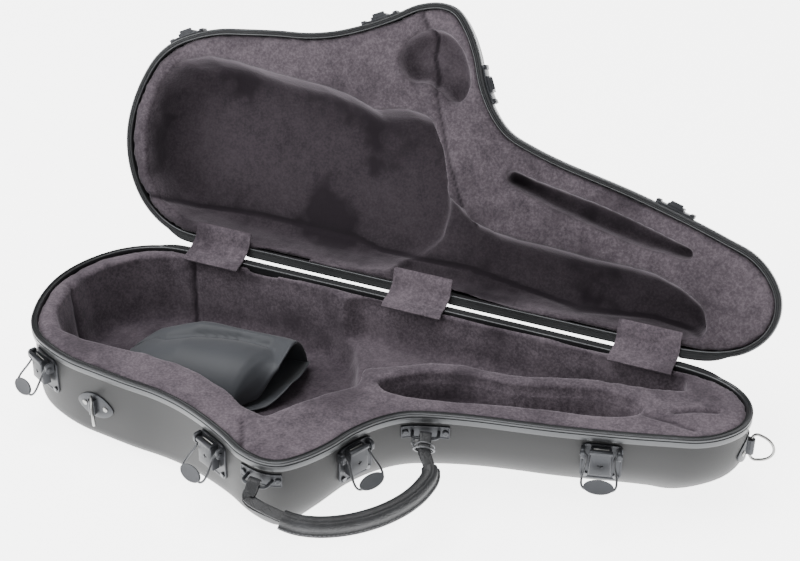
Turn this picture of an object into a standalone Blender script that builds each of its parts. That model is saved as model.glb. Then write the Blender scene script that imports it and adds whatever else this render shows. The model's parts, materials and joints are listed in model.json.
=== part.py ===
"""Shaped hard case for an alto saxophone, standing on its base with the lid open.

+X runs from the bell end to the neck end, +Y towards the hinges and +Z up.
The origin is on the flat bottom of the base. Lengths are in metres.
"""
import math

import bmesh
import bpy
import numpy as np
from mathutils import Matrix, Vector

MM = 0.001

# Driving dimensions
BASE_DEPTH = 86 * MM          # floor to the rim plane
LID_DEPTH = 57 * MM           # rim plane to the outside of the lid
HINGE_Y = 140 * MM            # hinge axis, just behind the back edge
LID_OPEN_DEG = 115.5          # how far the lid stands open
WALL = 3 * MM                 # moulded shell
RIM_HEIGHT = 12 * MM          # outer flange of each rim
RIM_WIDTH = 8 * MM
SHELL_INSET = 2.8 * MM        # shell wall behind the rim's outer face
GAP = 0.3 * MM                # between pieces that touch
BORDER_DEPTH = 5 * MM         # padded border below the rim plane
OUTLINE_SAMPLES = 56
CAVITY_SAMPLES = 28

# The rim's outer edge, anticlockwise from the back left corner, in mm
OUTLINE = [
    (-230, 135.3), (-273, 129.5), (-310, 103), (-333, 55), (-332, 5), (-309, -46), (-265, -72),
    (-205, -83), (-140, -91), (-85, -112), (-47, -133), (-15, -136), (11, -110), (31, -66),
    (57, -34), (100, -18), (185, 0), (265, 21), (310, 38), (333, 68), (332, 98), (310, 123),
    (270, 134.3), (205, 135.5), (-165, 135.7),
]

# Hollows pressed into the padding: edge at the border in mm, depth and lean of the sides
BASE_HOLLOWS = {
    "bell": dict(depth=68, lean=18, edge=[
        (-313, 50), (-311, 5), (-295, -28), (-261, -39), (-224, -38), (-173, -37), (-126, -47),
        (-88, -64), (-59, -84), (-41, -59), (-18, -28), (5, 0), (-10, 40), (-25, 80), (-45, 110),
        (-85, 123), (-135, 125), (-230, 123), (-265, 115), (-297, 88)]),
    "body": dict(depth=45, lean=12, edge=[
        (-70, 60), (-30, 25), (5, 22), (30, 40), (58, 55), (92, 62), (120, 62), (153, 71),
        (182, 83), (220, 89), (259, 95), (276, 102), (280, 112), (268, 121), (220, 124),
        (60, 124), (-60, 123), (-80, 100)]),
    "neck": dict(depth=32, lean=8, edge=[
        (15, 5), (37, 28), (65, 43), (92, 49), (120, 49), (153, 58), (182, 69), (220, 74),
        (241, 68), (250, 56), (235, 44), (201, 33), (167, 26), (92, 6), (49, -4), (26, -4)]),
}
LID_HOLLOWS = {
    "bell": dict(depth=46, lean=16, edge=[
        (-305, 80), (-313, 40), (-311, -5), (-290, -38), (-255, -49), (-185, -44), (-112, -39),
        (-80, -28), (-53, -31), (-30, -40), (-10, -20), (8, 20), (15, 60), (5, 100), (-35, 121),
        (-230, 121), (-275, 110)]),
    "body": dict(depth=36, lean=12, edge=[
        (-5, 30), (37, 56), (65, 63), (153, 67), (219, 69), (254, 81), (273, 96), (276, 112),
        (263, 121), (165, 123), (-35, 122), (-25, 80)]),
    "parts": dict(depth=22, lean=4, edge=[
        (62, 3), (95, 8), (150, 17), (190, 26), (225, 35), (252, 43), (250, 52), (225, 50),
        (180, 45), (130, 34), (80, 21), (62, 14)]),
    "toe": dict(depth=20, lean=6, edge=[
        (-62, -82), (-45, -108), (-18, -112), (2, -96), (14, -62), (4, -46), (-22, -60),
        (-48, -60)]),
}

HINGE_CENTRES = [-210 * MM, 3 * MM, 225 * MM]
HINGE_WIDTH = 48 * MM
COVER_WIDTH = 60 * MM
KNUCKLE_RADIUS = 3 * MM
PIN_RADIUS = 1.2 * MM

# Places on the outline, as a point close to it in mm
LATCH_PLACES = [(-287, -62), (-88, -111), (29, -72), (223, 9)]
CATCH_PLACES = LATCH_PLACES
HANDLE_PLACES = [(-28, -137), (77, -25)]
RING_PLACES = [(-226, -80), (333, 84)]
RING_LEVELS = [-42 * MM, -33 * MM]
RING_HEADINGS = [42, 0]       # degrees from square to the wall

LATCH_WIDTH = 36 * MM
LATCH_TOP = 13 * MM           # below the rim plane
LATCH_BOTTOM = 50 * MM
LEVER_PIVOT = (4.0 * MM, -20 * MM)     # out from the rim's face, up from the rim plane
LEVER_REST_DEG = 40           # arm's angle from hanging straight down
ARM_LENGTH = 30 * MM

HANDLE_DROP_DEG = 20
HANDLE_REACH = 58 * MM
HANDLE_LEVEL = -20 * MM       # bars below the rim plane
HANDLE_STANDOFF = 11 * MM
RIVET_STAND = 1.3 * MM         # rivet heads over the bent plates
SLEEVE_RADIUS = 10.5 * MM
SLEEVE_SPAN = (14, 46)        # points of the handle's centre line
RING_SPOT = 51


def clear_scene():
    for item in list(bpy.data.objects):
        bpy.data.objects.remove(item, do_unlink=True)


def make_material(name, colour, roughness, metallic=0.0):
    material = bpy.data.materials.new(name)
    material.use_nodes = True
    shader = material.node_tree.nodes["Principled BSDF"]
    shader.inputs["Base Color"].default_value = (*colour, 1.0)
    shader.inputs["Roughness"].default_value = roughness
    shader.inputs["Metallic"].default_value = metallic
    material.diffuse_color = (*colour, 1.0)
    return material


def make_object(name, bm, material, parent=None, smooth=True):
    bmesh.ops.remove_doubles(bm, verts=bm.verts, dist=1e-6)
    bmesh.ops.recalc_face_normals(bm, faces=bm.faces)
    mesh = bpy.data.meshes.new(name)
    bm.to_mesh(mesh)
    bm.free()
    if smooth:
        mesh.shade_smooth()
        mesh.set_sharp_from_angle(angle=math.radians(40))
    item = bpy.data.objects.new(name, mesh)
    bpy.context.scene.collection.objects.link(item)
    if material is not None:
        mesh.materials.append(material)
    item.parent = parent
    return item


def make_empty(name, matrix):
    item = bpy.data.objects.new(name, None)
    bpy.context.scene.collection.objects.link(item)
    item.matrix_world = matrix
    return item


def add_boolean(item, other, operation):
    modifier = item.modifiers.new(operation.title() + "_" + other.name, "BOOLEAN")
    modifier.operation = operation
    modifier.solver = "EXACT"
    modifier.object = other
    other.hide_render = True
    other.display_type = "WIRE"


# --- outlines -------------------------------------------------------------

def closed_curve(points, steps=24):
    """Smooth closed curve through hand-placed points (centripetal Catmull-Rom)."""
    points = np.array(points, float)
    count = len(points)
    curve = []
    for i in range(count):
        p = [points[(i + k) % count] for k in (-1, 0, 1, 2)]
        t = [0.0]
        for a, b in zip(p, p[1:]):
            t.append(t[-1] + math.sqrt(np.linalg.norm(b - a)))
        for step in range(steps):
            s = t[1] + (t[2] - t[1]) * step / steps
            a = [((t[k + 1] - s) * p[k] + (s - t[k]) * p[k + 1]) / (t[k + 1] - t[k]) for k in range(3)]
            b = [((t[k + 2] - s) * a[k] + (s - t[k]) * a[k + 1]) / (t[k + 2] - t[k]) for k in range(2)]
            curve.append(((t[2] - s) * b[0] + (s - t[1]) * b[1]) / (t[2] - t[1]))
    return np.array(curve)


def outward_normals(curve):
    tangent = np.roll(curve, -1, 0) - np.roll(curve, 1, 0)
    tangent /= np.linalg.norm(tangent, axis=1)[:, None]
    normal = np.stack([tangent[:, 1], -tangent[:, 0]], 1)
    area = np.sum(curve[:, 0] * np.roll(curve[:, 1], -1) - np.roll(curve[:, 0], -1) * curve[:, 1])
    return normal if area > 0 else -normal


def bend(curve):
    """Curvature along a closed curve, positive where it bulges outwards."""
    ahead = np.roll(curve, -1, 0) - curve
    behind = curve - np.roll(curve, 1, 0)
    turn = ahead[:, 1] * behind[:, 0] - ahead[:, 0] * behind[:, 1]
    long_a = np.linalg.norm(ahead, axis=1)
    long_b = np.linalg.norm(behind, axis=1)
    curvature = turn / (long_a * long_b * 0.5 * (long_a + long_b))
    area = np.sum(curve[:, 0] * np.roll(curve[:, 1], -1) - np.roll(curve[:, 0], -1) * curve[:, 1])
    return curvature if area > 0 else -curvature


def smooth_round(values, passes):
    for _ in range(passes):
        values = 0.25 * np.roll(values, 1) + 0.5 * values + 0.25 * np.roll(values, -1)
    return values


def resample(curve, count, favour_bends=0.0):
    """Points along a closed curve, closer together where it bends."""
    closed = np.vstack([curve, curve[:1]])
    length = np.linalg.norm(np.diff(closed, axis=0), axis=1)
    weight = 1 + favour_bends * np.abs(smooth_round(bend(curve), 20))
    along = np.concatenate([[0], np.cumsum(length * weight)])
    wanted = np.linspace(0, along[-1], count, endpoint=False)
    return np.stack([np.interp(wanted, along, closed[:, k]) for k in (0, 1)], 1)


class Outline:
    """The case's plan shape, and the loops that follow it at any inset."""

    inset_softening = 1.0     # keeps a deep inset from crossing itself at the toe

    def __init__(self):
        self.fine = closed_curve(OUTLINE) * MM
        self.fine_normal = outward_normals(self.fine)
        self.points = resample(self.fine, OUTLINE_SAMPLES, 0.03)
        self.normal = outward_normals(self.points)
        self.bulge = np.clip(smooth_round(bend(self.points), 2), 0, None)

    def inset(self, distance, rake=0.0):
        distance = np.broadcast_to(distance, len(self.points))
        softened = distance / (1 + self.inset_softening * distance * self.bulge)
        loop = self.points - self.normal * softened[:, None]
        ahead = np.clip((loop[:, 0] - 0.2) / 0.135, 0, 1)
        loop = loop.copy()
        loop[:, 0] -= rake * ahead ** 1.5
        return loop

    def place(self, near):
        """Frame at the outline point nearest to a spot: point, outward and along."""
        k = int(np.argmin(np.linalg.norm(self.fine - np.array(near) * MM, axis=1)))
        out = Vector((*self.fine_normal[k], 0))
        along = Vector((0, 0, 1)).cross(out)
        return Vector((*self.fine[k], 0)), out, along

    def face_offset(self, near, across, inset=0.0):
        """How far the faceted wall stands out from its tangent line at a distance along it."""
        point, out, along = self.place(near)
        wall = self.inset(inset) - np.array(point.xy)
        side = wall @ np.array(along.xy)
        proud = wall @ np.array(out.xy)
        close = np.linalg.norm(wall, axis=1) < 0.09
        order = np.argsort(side[close])
        spots = across + np.array([-3, -1.5, 0, 1.5, 3]) * MM
        return float(np.max(np.interp(spots, side[close][order], proud[close][order])))


def corner_radius(points, depth):
    """Radius between wall and bottom: small at the hinges, large at the neck end."""
    front = np.clip((HINGE_Y - points[:, 1]) / 0.12, 0, 1)
    right = np.clip((points[:, 0] + 0.2) / 0.36, 0, 1)
    right = right * right * (3 - 2 * right)
    if depth > 0.07:
        return 0.018 + 0.045 * right * (0.1 + 0.9 * front)
    return 0.018 + 0.02 * front + 0.004 * right


# --- mesh helpers ---------------------------------------------------------

def loft(loops, closed=False):
    """Skin a list of loops with the same number of points, capped unless closed."""
    bm = bmesh.new()
    rows = [[bm.verts.new(p) for p in loop] for loop in loops]
    pairs = list(zip(rows, rows[1:]))
    if closed:
        pairs.append((rows[-1], rows[0]))
    for low, high in pairs:
        for k in range(len(low)):
            n = (k + 1) % len(low)
            bm.faces.new((low[k], low[n], high[n], high[k]))
    if not closed:
        bm.faces.new(list(reversed(rows[0])))
        bm.faces.new(rows[-1])
    return bm


def extrude_profile(profile, x_low, x_high):
    """A closed (y, z) profile pulled along x."""
    return loft([[(x, y, z) for y, z in profile] for x in (x_low, x_high)])


def circle(centre, radius, count, start=0.0):
    angles = [start + math.tau * k / count for k in range(count)]
    return [(centre[0] + radius * math.cos(a), centre[1] + radius * math.sin(a)) for a in angles]


def ring_frames(path, closed=False):
    """Rotation-minimising frames along a path."""
    path = [Vector(p) for p in path]
    count = len(path)
    tangents = []
    for k in range(count):
        if closed:
            a, b = path[k - 1], path[(k + 1) % count]
        else:
            a, b = path[max(k - 1, 0)], path[min(k + 1, count - 1)]
        tangents.append((b - a).normalized())
    side = tangents[0].orthogonal().normalized()
    frames = []
    for point, tangent in zip(path, tangents):
        side = (side - tangent * side.dot(tangent)).normalized()
        frames.append((point, side, tangent.cross(side)))
    return frames


def tube(path, radii, sides, closed=False):
    """A solid round tube along a path, with one radius for each point."""
    if not hasattr(radii, "__len__"):
        radii = [radii] * len(path)
    loops = []
    for (point, side, up), radius in zip(ring_frames(path, closed), radii):
        angles = [math.tau * k / sides for k in range(sides)]
        loops.append([point + side * radius * math.cos(a) + up * radius * math.sin(a) for a in angles])
    return loft(loops, closed)


def box(low, high):
    corners = [(low[0], low[1]), (high[0], low[1]), (high[0], high[1]), (low[0], high[1])]
    return loft([[(x, y, z) for x, y in corners] for z in (low[2], high[2])])


# --- shells, rims and padding ---------------------------------------------

class Half:
    """Base or lid: turns a depth from the rim plane into a height."""

    def __init__(self, name, depth, sign, rake, parent=None):
        self.name = name
        self.depth = depth
        self.sign = sign
        self.rake = rake
        self.parent = parent

    def lift(self, loop, depth):
        height = self.sign * depth
        if self.parent is None:
            return [(x, y, BASE_DEPTH + height) for x, y in loop]
        return [(x, y - HINGE_Y, height) for x, y in loop]


def tub_side(outline, half, inset, floor, radius_cut, top, steps=4):
    """Loops from the bottom of one skin up to its top edge."""
    radius = np.maximum(corner_radius(outline.points, half.depth) - radius_cut, 0.006)
    loops = []
    for step in range(steps + 1):
        angle = math.pi / 2 * (1 - step / steps)
        away = inset + radius * (1 - math.cos(angle))
        depth = half.depth - floor - radius * (1 - math.sin(angle))
        raked = half.rake * (1 - math.cos(angle))
        plan = outline.inset(away, raked)
        loops.append([half.lift([p], d)[0] for p, d in zip(plan, depth)])
    loops.append(half.lift(outline.inset(inset), top))
    return loops


def make_shell(outline, half, material):
    top = 3.5 * MM
    outside = tub_side(outline, half, SHELL_INSET, 0.0, 0.0, top)
    inside = tub_side(outline, half, SHELL_INSET + WALL, WALL, WALL, top)
    bm = loft(outside + inside[::-1])
    return make_object(half.name + "_shell", bm, material, half.parent)


def make_rim(outline, half, material):
    """A channel that grips the shell's edge, with its crown just short of the rim plane."""
    crown = 0.2 * MM
    profile = [
        (0.0, RIM_HEIGHT), (0.0, 1.2 * MM), (1.0 * MM, crown), (RIM_WIDTH, crown),
        (RIM_WIDTH, 9 * MM), (6.2 * MM, 9 * MM), (6.2 * MM, 3.2 * MM), (2.4 * MM, 3.2 * MM),
        (2.4 * MM, RIM_HEIGHT),
    ]
    loops = [half.lift(outline.inset(inset), depth) for inset, depth in profile]
    return make_object(half.name + "_rim", loft(loops, closed=True), material, half.parent)


def make_cutter(half, name, spec):
    """A hollow with leaning sides and a rounded foot."""
    edge = resample(closed_curve(spec["edge"]) * MM, CAVITY_SAMPLES)
    normal = outward_normals(edge)
    bulge = np.clip(smooth_round(bend(edge), 2), 0, None)
    depth = spec["depth"] * MM
    lean = spec["lean"] * MM
    shape = [(0.0, 0.0), (0.35, 0.55), (0.62, 0.85), (1.0, 1.0)]
    loops = [half.lift(edge, -4 * MM)]
    for lean_share, depth_share in shape:
        away = lean * lean_share
        plan = edge - normal * (away / (1 + 0.8 * away * bulge))[:, None]
        loops.append(half.lift(plan, BORDER_DEPTH - 1 * MM + (depth - BORDER_DEPTH + 1 * MM) * depth_share))
    return make_object(half.name + "_hollow_" + name, loft(loops), None, half.parent, smooth=False)


def make_lining(outline, half, hollows, material):
    """Padding that fills the shell, with the hollows pressed into it."""
    inset = RIM_WIDTH + 0.4 * MM
    slack = inset - SHELL_INSET
    block = tub_side(outline, half, inset, slack, slack, BORDER_DEPTH)
    item = make_object(half.name + "_lining", loft(block), material, half.parent)
    for name, spec in hollows.items():
        add_boolean(item, make_cutter(half, name, spec), "DIFFERENCE")
    return item


# --- hinges ---------------------------------------------------------------

def make_hinge_leaf(name, centre, sign, spans, material, parent, lift):
    """A flat leaf on the rim's back face with knuckles over the given spans."""
    half_width = HINGE_WIDTH / 2
    leaf_in, leaf_out = -3.7 * MM, -2.5 * MM
    plate = [(leaf_in, 2.6 * MM), (leaf_out, 2.6 * MM), (leaf_out, 11 * MM), (leaf_in, 11 * MM)]
    bm = extrude_profile([(y, sign * z) for y, z in plate], centre - half_width, centre + half_width)
    leaf = make_object(name, bm, material, parent, smooth=False)
    for k, (low, high) in enumerate(spans):
        outer = circle((0, 0), KNUCKLE_RADIUS, 16, math.pi / 16)
        barrel = make_object(f"{name}_barrel_{k}", extrude_profile(outer, low, high), None, parent)
        web = [(leaf_in, 0.2 * MM), (-1.6 * MM, 0.2 * MM), (leaf_out, 4 * MM), (leaf_in, 4 * MM)]
        bm = extrude_profile([(y, sign * z) for y, z in web], low, high)
        link = make_object(f"{name}_web_{k}", bm, None, parent)
        for part in (barrel, link):
            part.location = lift
            add_boolean(leaf, part, "UNION")
    bore = circle((0, 0), PIN_RADIUS + GAP, 16, math.pi / 16)
    bm = extrude_profile(bore, centre - half_width - 5 * MM, centre + half_width + 5 * MM)
    hole = make_object(name + "_bore", bm, None, parent)
    hole.location = lift
    add_boolean(leaf, hole, "DIFFERENCE")
    leaf.location = lift
    return leaf


def make_hinge(index, centre, lid_axis, material):
    axis_place = Vector((0, HINGE_Y, BASE_DEPTH))
    third = HINGE_WIDTH / 3
    left = centre - HINGE_WIDTH / 2
    slack = 0.25 * MM
    base_spans = [(left, left + third - slack), (left + 2 * third + slack, left + 3 * third)]
    lid_spans = [(left + third + slack, left + 2 * third - slack)]
    make_hinge_leaf(f"hinge_{index}_base_leaf", centre, -1, base_spans, material, None, axis_place)
    make_hinge_leaf(f"hinge_{index}_lid_leaf", centre, 1, lid_spans, material, lid_axis, Vector())
    pin = circle((0, 0), PIN_RADIUS, 16, math.pi / 16)
    bm = extrude_profile(pin, left - 0.6 * MM, left + 3 * third + 0.6 * MM)
    make_object(f"hinge_{index}_pin", bm, material).location = axis_place


def make_hinge_cover(index, centre, material):
    """A padded tab from the base's lining, over both rims, to the lid's lining."""
    lean = math.radians(LID_OPEN_DEG)
    up = Vector((0, -math.cos(lean), math.sin(lean)))        # away from the axis, on the lid
    proud = Vector((0, -math.sin(lean), -math.cos(lean)))    # out of the lid's rim plane
    line = [Vector((0, -24 * MM, 1.2 * MM)), Vector((0, -16 * MM, 1.2 * MM)),
            Vector((0, -9 * MM, 1.4 * MM))]
    line += [up * (9 * MM) + proud * (1.4 * MM), up * (16 * MM) + proud * (1.2 * MM),
             up * (24 * MM) + proud * (1.2 * MM)]
    start, end = line[2], line[3]
    middle = [(start * (1 - t) + end * t) + Vector((0, 1, 0.35)).normalized() * (t * (1 - t) * 8 * MM)
              for t in (0.25, 0.5, 0.75)]
    line = line[:3] + middle + line[3:]
    half_thick = 0.9 * MM
    near, far = [], []
    for k, point in enumerate(line):
        way = (line[min(k + 1, len(line) - 1)] - line[max(k - 1, 0)]).normalized()
        side = Vector((0, -way.z, way.y))
        near.append(point - side * half_thick)
        far.append(point + side * half_thick)
    profile = [(p.y, p.z) for p in near + far[::-1]]
    bm = extrude_profile(profile, centre - COVER_WIDTH / 2, centre + COVER_WIDTH / 2)
    make_object(f"hinge_cover_{index}", bm, material).location = (0, HINGE_Y, BASE_DEPTH)


# --- plates that follow the wall ------------------------------------------

def place_matrix(outline, near, height=0.0):
    """Local x along the wall, y out of it and z up, at the rim plane plus a height."""
    point, out, along = outline.place(near)
    rows = Matrix((
        (-along.x, out.x, 0, point.x),
        (-along.y, out.y, 0, point.y),
        (0, 0, 1, BASE_DEPTH + height),
        (0, 0, 0, 1)))
    return rows


def wall_plate(outline, near, half_width, low, high, inner, outer, corner, inset, columns=8):
    """A plate bent to the wall, with rounded corners; low and high are heights."""
    stations = []
    for k in range(columns + 1):
        across = -half_width * math.cos(math.pi * k / columns)
        away = max(0.0, abs(across) - (half_width - corner))
        cut = corner - math.sqrt(max(corner * corner - away * away, 0.0)) * 0.96
        back = outline.face_offset(near, -across, inset)
        stations.append((across, back, low + cut, high - cut))
    loops = []
    for across, back, bottom, top in stations:
        loops.append([
            (across, back + inner, bottom), (across, back + outer, bottom),
            (across, back + outer, top), (across, back + inner, top)])
    return loft(loops)


def eye_plate(outline, near, half_width, half_height, middle, inner, outer, inset, columns=8):
    """A pointed oval plate bent to the wall."""
    loops = []
    for k in range(columns + 1):
        across = -half_width * math.cos(math.pi * k / columns)
        tall = max(half_height * (1 - (across / half_width) ** 2) ** 0.8, 2.2 * MM)
        back = outline.face_offset(near, -across, inset)
        loops.append([
            (across, back + inner, middle - tall), (across, back + outer, middle - tall),
            (across, back + outer, middle + tall), (across, back + inner, middle + tall)])
    return loft(loops)


def make_rivet(name, outline, near, across, height, stand, material):
    """A low domed head on a plate, square to the wall where it sits."""
    point, out, along = outline.place(near)
    own = (point - along * across) / MM
    frame = place_matrix(outline, (own.x, own.y), height)
    back = outline.face_offset((own.x, own.y), 0.0, SHELL_INSET)
    radii = [(2.6 * MM, 0.0), (2.6 * MM, 0.5 * MM), (1.6 * MM, 1.1 * MM)]
    loops = []
    for radius, proud in radii:
        loops.append([(x, proud, z) for x, z in circle((0, 0), radius, 12)])
    item = make_object(name, loft(loops), material)
    item.matrix_world = frame @ Matrix.Translation((0, back + stand, 0))


# --- latches --------------------------------------------------------------

def lever_arm_frame(frame):
    """The lever's own frame at its pivot: x along the wall, z along the arm, upwards."""
    turn = Matrix.Rotation(math.radians(LEVER_REST_DEG), 4, "X")
    return frame @ Matrix.Translation((0, LEVER_PIVOT[0], LEVER_PIVOT[1])) @ turn


def make_latch(index, outline, near, dark, wire, black):
    frame = place_matrix(outline, near)
    half_width = LATCH_WIDTH / 2
    name = f"latch_{index}"
    plate = make_object(name + "_plate", wall_plate(
        outline, near, half_width, -LATCH_BOTTOM, -LATCH_TOP, GAP, 2.3 * MM, 6 * MM, SHELL_INSET), dark)
    plate.matrix_world = frame
    for side in (-1, 1):
        near_x, far_x = 14.2 * MM * side, 17.4 * MM * side
        low_x, high_x = min(near_x, far_x), max(near_x, far_x)
        back = outline.face_offset(near, -15.8 * MM * side, SHELL_INSET) + 1.2 * MM
        ear_shape = [(back, -24 * MM), (back, -16 * MM), (2.5 * MM, -16.4 * MM)]
        ear_shape += [(LEVER_PIVOT[0] + 3 * MM * math.cos(a), LEVER_PIVOT[1] + 3 * MM * math.sin(a))
                      for a in (math.radians(d) for d in (75, 45, 15, -15, -45, -75))]
        ear_shape += [(2.5 * MM, -23.6 * MM)]
        ear = make_object(f"{name}_ear_{side + 1}", extrude_profile(ear_shape, low_x, high_x), None)
        ear.matrix_world = frame
        add_boolean(plate, ear, "UNION")
    eye = circle(LEVER_PIVOT, 1.4 * MM, 12, math.pi / 12)
    hole = make_object(name + "_eye", extrude_profile(eye, -25 * MM, 25 * MM), None)
    hole.matrix_world = frame
    add_boolean(plate, hole, "DIFFERENCE")

    # the lock box between the ears: open at its top, with a slot for the lid's tongue
    width = 9.8 * MM
    plate_front = max(outline.face_offset(near, x * MM, SHELL_INSET) for x in range(-10, 11)) + 2.3 * MM
    back = plate_front + GAP
    side_shape = [(back, -40 * MM), (7.2 * MM, -40 * MM), (8.0 * MM, -38 * MM), (8.0 * MM, -17 * MM),
                  (7.0 * MM, -14.2 * MM), (back, -14.2 * MM)]
    body = make_object(name + "_housing", extrude_profile(side_shape, -width, width), dark, smooth=False)
    body.matrix_world = frame
    slot = make_object(name + "_slot", box((-7 * MM, back + 1.4 * MM, -22 * MM),
                                           (7 * MM, 5.6 * MM, -10 * MM)), None)
    slot.matrix_world = frame
    add_boolean(body, slot, "DIFFERENCE")
    key_shape = [(-3.2, -0.7), (-1.0, -0.9), (0, -2.2), (1.0, -0.9), (3.2, -0.7), (3.2, 0.7), (1.0, 0.9),
                 (0, 2.2), (-1.0, 0.9), (-3.2, 0.7)]
    key_hole = loft([[(x * MM, y, z * MM - 29 * MM) for x, z in key_shape] for y in (6.4 * MM, 9 * MM)])
    key = make_object(name + "_key", key_hole, None)
    key.matrix_world = frame
    add_boolean(body, key, "DIFFERENCE")

    # the wire bail: pivot ends in the ears, two arms and the bar at its foot
    arm = lever_arm_frame(frame)
    bail_axis = make_empty(name + "_bail_axis", arm)
    half_path = [(-17.2, 0), (-15.6, 0), (-13.6, -0.3), (-12.4, -1.4), (-12.0, -3.5), (-12.4, -9),
                 (-14.2, -17), (-15.0, -23), (-14.4, -27), (-12.4, -29.4), (-9.6, -30), (-5, -30)]
    path = [(x * MM, 0, z * MM) for x, z in half_path]
    path += [(-x, 0, z) for x, _, z in reversed(path)]
    make_object(name + "_bail", tube(path, 1.0 * MM, 6), wire, bail_axis)

    # the finger paddle: a rolled barrel on the bar and an oval tab
    foot = make_empty(name + "_paddle_axis", arm @ Matrix.Translation((0, 0, -ARM_LENGTH)))
    outline_points = []
    for k in range(16):
        a = math.tau * k / 16
        x = 13 * MM * math.copysign(abs(math.cos(a)) ** 0.8, math.cos(a))
        z = 2.4 * MM + 6.25 * MM * math.sin(a)
        outline_points.append((x, z))
    sheet = loft([[(x, y, z) for x, z in outline_points] for y in (1.8 * MM, 4.0 * MM)])
    paddle = make_object(name + "_paddle", sheet, black, foot)
    roll = circle((0, 0), 2.7 * MM, 12, math.pi / 12)
    barrel = make_object(name + "_roll", extrude_profile(roll, -7.5 * MM, 7.5 * MM), None, foot)
    add_boolean(paddle, barrel, "UNION")
    bore = circle((0, 0), 1.4 * MM, 12, math.pi / 12)
    hole = make_object(name + "_roll_bore", extrude_profile(bore, -10 * MM, 10 * MM), None, foot)
    add_boolean(paddle, hole, "DIFFERENCE")


def make_catch(index, outline, near, lid_axis, material):
    """The lid's keeper: a plate on the rim, two end tabs and a raised block."""
    half_width = 19 * MM
    shift = Matrix.Translation((0, -HINGE_Y, -BASE_DEPTH)) @ place_matrix(outline, near)
    plate = make_object(f"catch_{index}", wall_plate(
        outline, near, half_width, 2 * MM, 16 * MM, 0.4 * MM, 2.0 * MM, 3 * MM, 0.0), material, lid_axis)
    plate.matrix_local = shift
    lumps = [(-19 * MM, -14.5 * MM, 4 * MM, 13 * MM, 3.6 * MM), (14.5 * MM, 19 * MM, 4 * MM, 13 * MM, 3.6 * MM),
             (-8 * MM, 8 * MM, 4.5 * MM, 14 * MM, 4.6 * MM)]
    for k, (x_low, x_high, low, high, proud) in enumerate(lumps):
        middle = 0.5 * (x_low + x_high)
        back = outline.face_offset(near, -middle)
        lump = make_object(f"catch_{index}_lump_{k}", box(
            (x_low, back + 1.1 * MM, low), (x_high, max(back, -0.4 * MM) + proud, high)), None, lid_axis)
        lump.matrix_local = shift
        add_boolean(plate, lump, "UNION")


# --- handle ---------------------------------------------------------------

def handle_ends(outline):
    ends = []
    for near in HANDLE_PLACES:
        point, out, along = outline.place(near)
        ends.append(point + out * (HANDLE_STANDOFF - SHELL_INSET) + Vector((0, 0, BASE_DEPTH + HANDLE_LEVEL)))
    return ends


def make_handle_bracket(index, outline, near, material):
    frame = place_matrix(outline, near, HANDLE_LEVEL)
    name = f"handle_bracket_{index}"
    plate = make_object(name, wall_plate(
        outline, near, 21 * MM, -6.5 * MM, 6.5 * MM, GAP, 1.8 * MM, 1.5 * MM, SHELL_INSET), material)
    plate.matrix_world = frame
    bar_out = HANDLE_STANDOFF - SHELL_INSET
    path = []
    for step in range(13):
        angle = math.pi * step / 12
        x = -11.5 * MM * math.copysign(abs(math.cos(angle)) ** 0.35, math.cos(angle))
        deep = outline.face_offset(near, -x, SHELL_INSET) + 1.0 * MM
        path.append((x, deep + (bar_out - deep) * math.sin(angle) ** 0.35, 0))
    bar = make_object(name + "_bar", tube(path, 1.5 * MM, 8), None)
    bar.matrix_world = frame
    add_boolean(plate, bar, "UNION")


def handle_point(ends, turn, drop_deg=HANDLE_DROP_DEG):
    """A point on the grip's arc; turn runs from 0 to pi."""
    chord = ends[1] - ends[0]
    level = Vector((chord.y, -chord.x, 0)).normalized()
    if level.y > 0:
        level = -level
    drop = math.radians(drop_deg)
    out = level * math.cos(drop) - Vector((0, 0, math.sin(drop)))
    return ends[0] + chord * ((1 - math.cos(turn)) / 2) + out * (HANDLE_REACH * math.sin(turn) ** 0.75)


def handle_line(outline, ends):
    """Centre line from one bar, square off it, round the grip's arc and back to the other bar."""
    stops = [handle_point(ends, 0.5 + (math.pi - 1.0) * k / 8) for k in range(9)]
    lead = []
    for end, toward, near in zip(ends, (stops[0], stops[-1]), HANDLE_PLACES):
        along = outline.place(near)[2]
        heading = (toward - end) - along * (toward - end).dot(along)
        lead.append([end + heading.normalized() * 5.4 * MM, end + heading.normalized() * 12 * MM])
    line = lead[0] + stops + lead[1][::-1]
    return open_curve(line, 5)


def open_curve(points, steps):
    """Smooth curve from the first point to the last (centripetal Catmull-Rom)."""
    points = [2 * points[0] - points[1]] + points + [2 * points[-1] - points[-2]]
    curve = []
    for p in zip(points, points[1:], points[2:], points[3:]):
        t = [0.0]
        for a, b in zip(p, p[1:]):
            t.append(t[-1] + math.sqrt((b - a).length))
        for step in range(steps):
            s = t[1] + (t[2] - t[1]) * step / steps
            a = [(p[k] * (t[k + 1] - s) + p[k + 1] * (s - t[k])) / (t[k + 1] - t[k]) for k in range(3)]
            b = [(a[k] * (t[k + 2] - s) + a[k + 1] * (s - t[k])) / (t[k + 2] - t[k]) for k in range(2)]
            curve.append((b[0] * (t[2] - s) + b[1] * (s - t[1])) / (t[2] - t[1]))
    return curve + [points[-2]]


def end_loop(outline, near, centre, heading):
    """A strap end wound loosely round its bar."""
    axis = outline.place(near)[2]
    first = (heading - axis * heading.dot(axis)).normalized()
    second = axis.cross(first)
    loops = []
    for radius, across in ((6.4, -5), (6.4, 5), (4.4, 5), (4.4, -5)):
        ring = circle((0, 0), radius * MM, 12, math.pi / 12)
        loops.append([centre + first * x + second * y + axis * across * MM for x, y in ring])
    return loft(loops, closed=True)


def thin_path(path, every):
    return path[::every] + ([] if (len(path) - 1) % every == 0 else [path[-1]])


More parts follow.
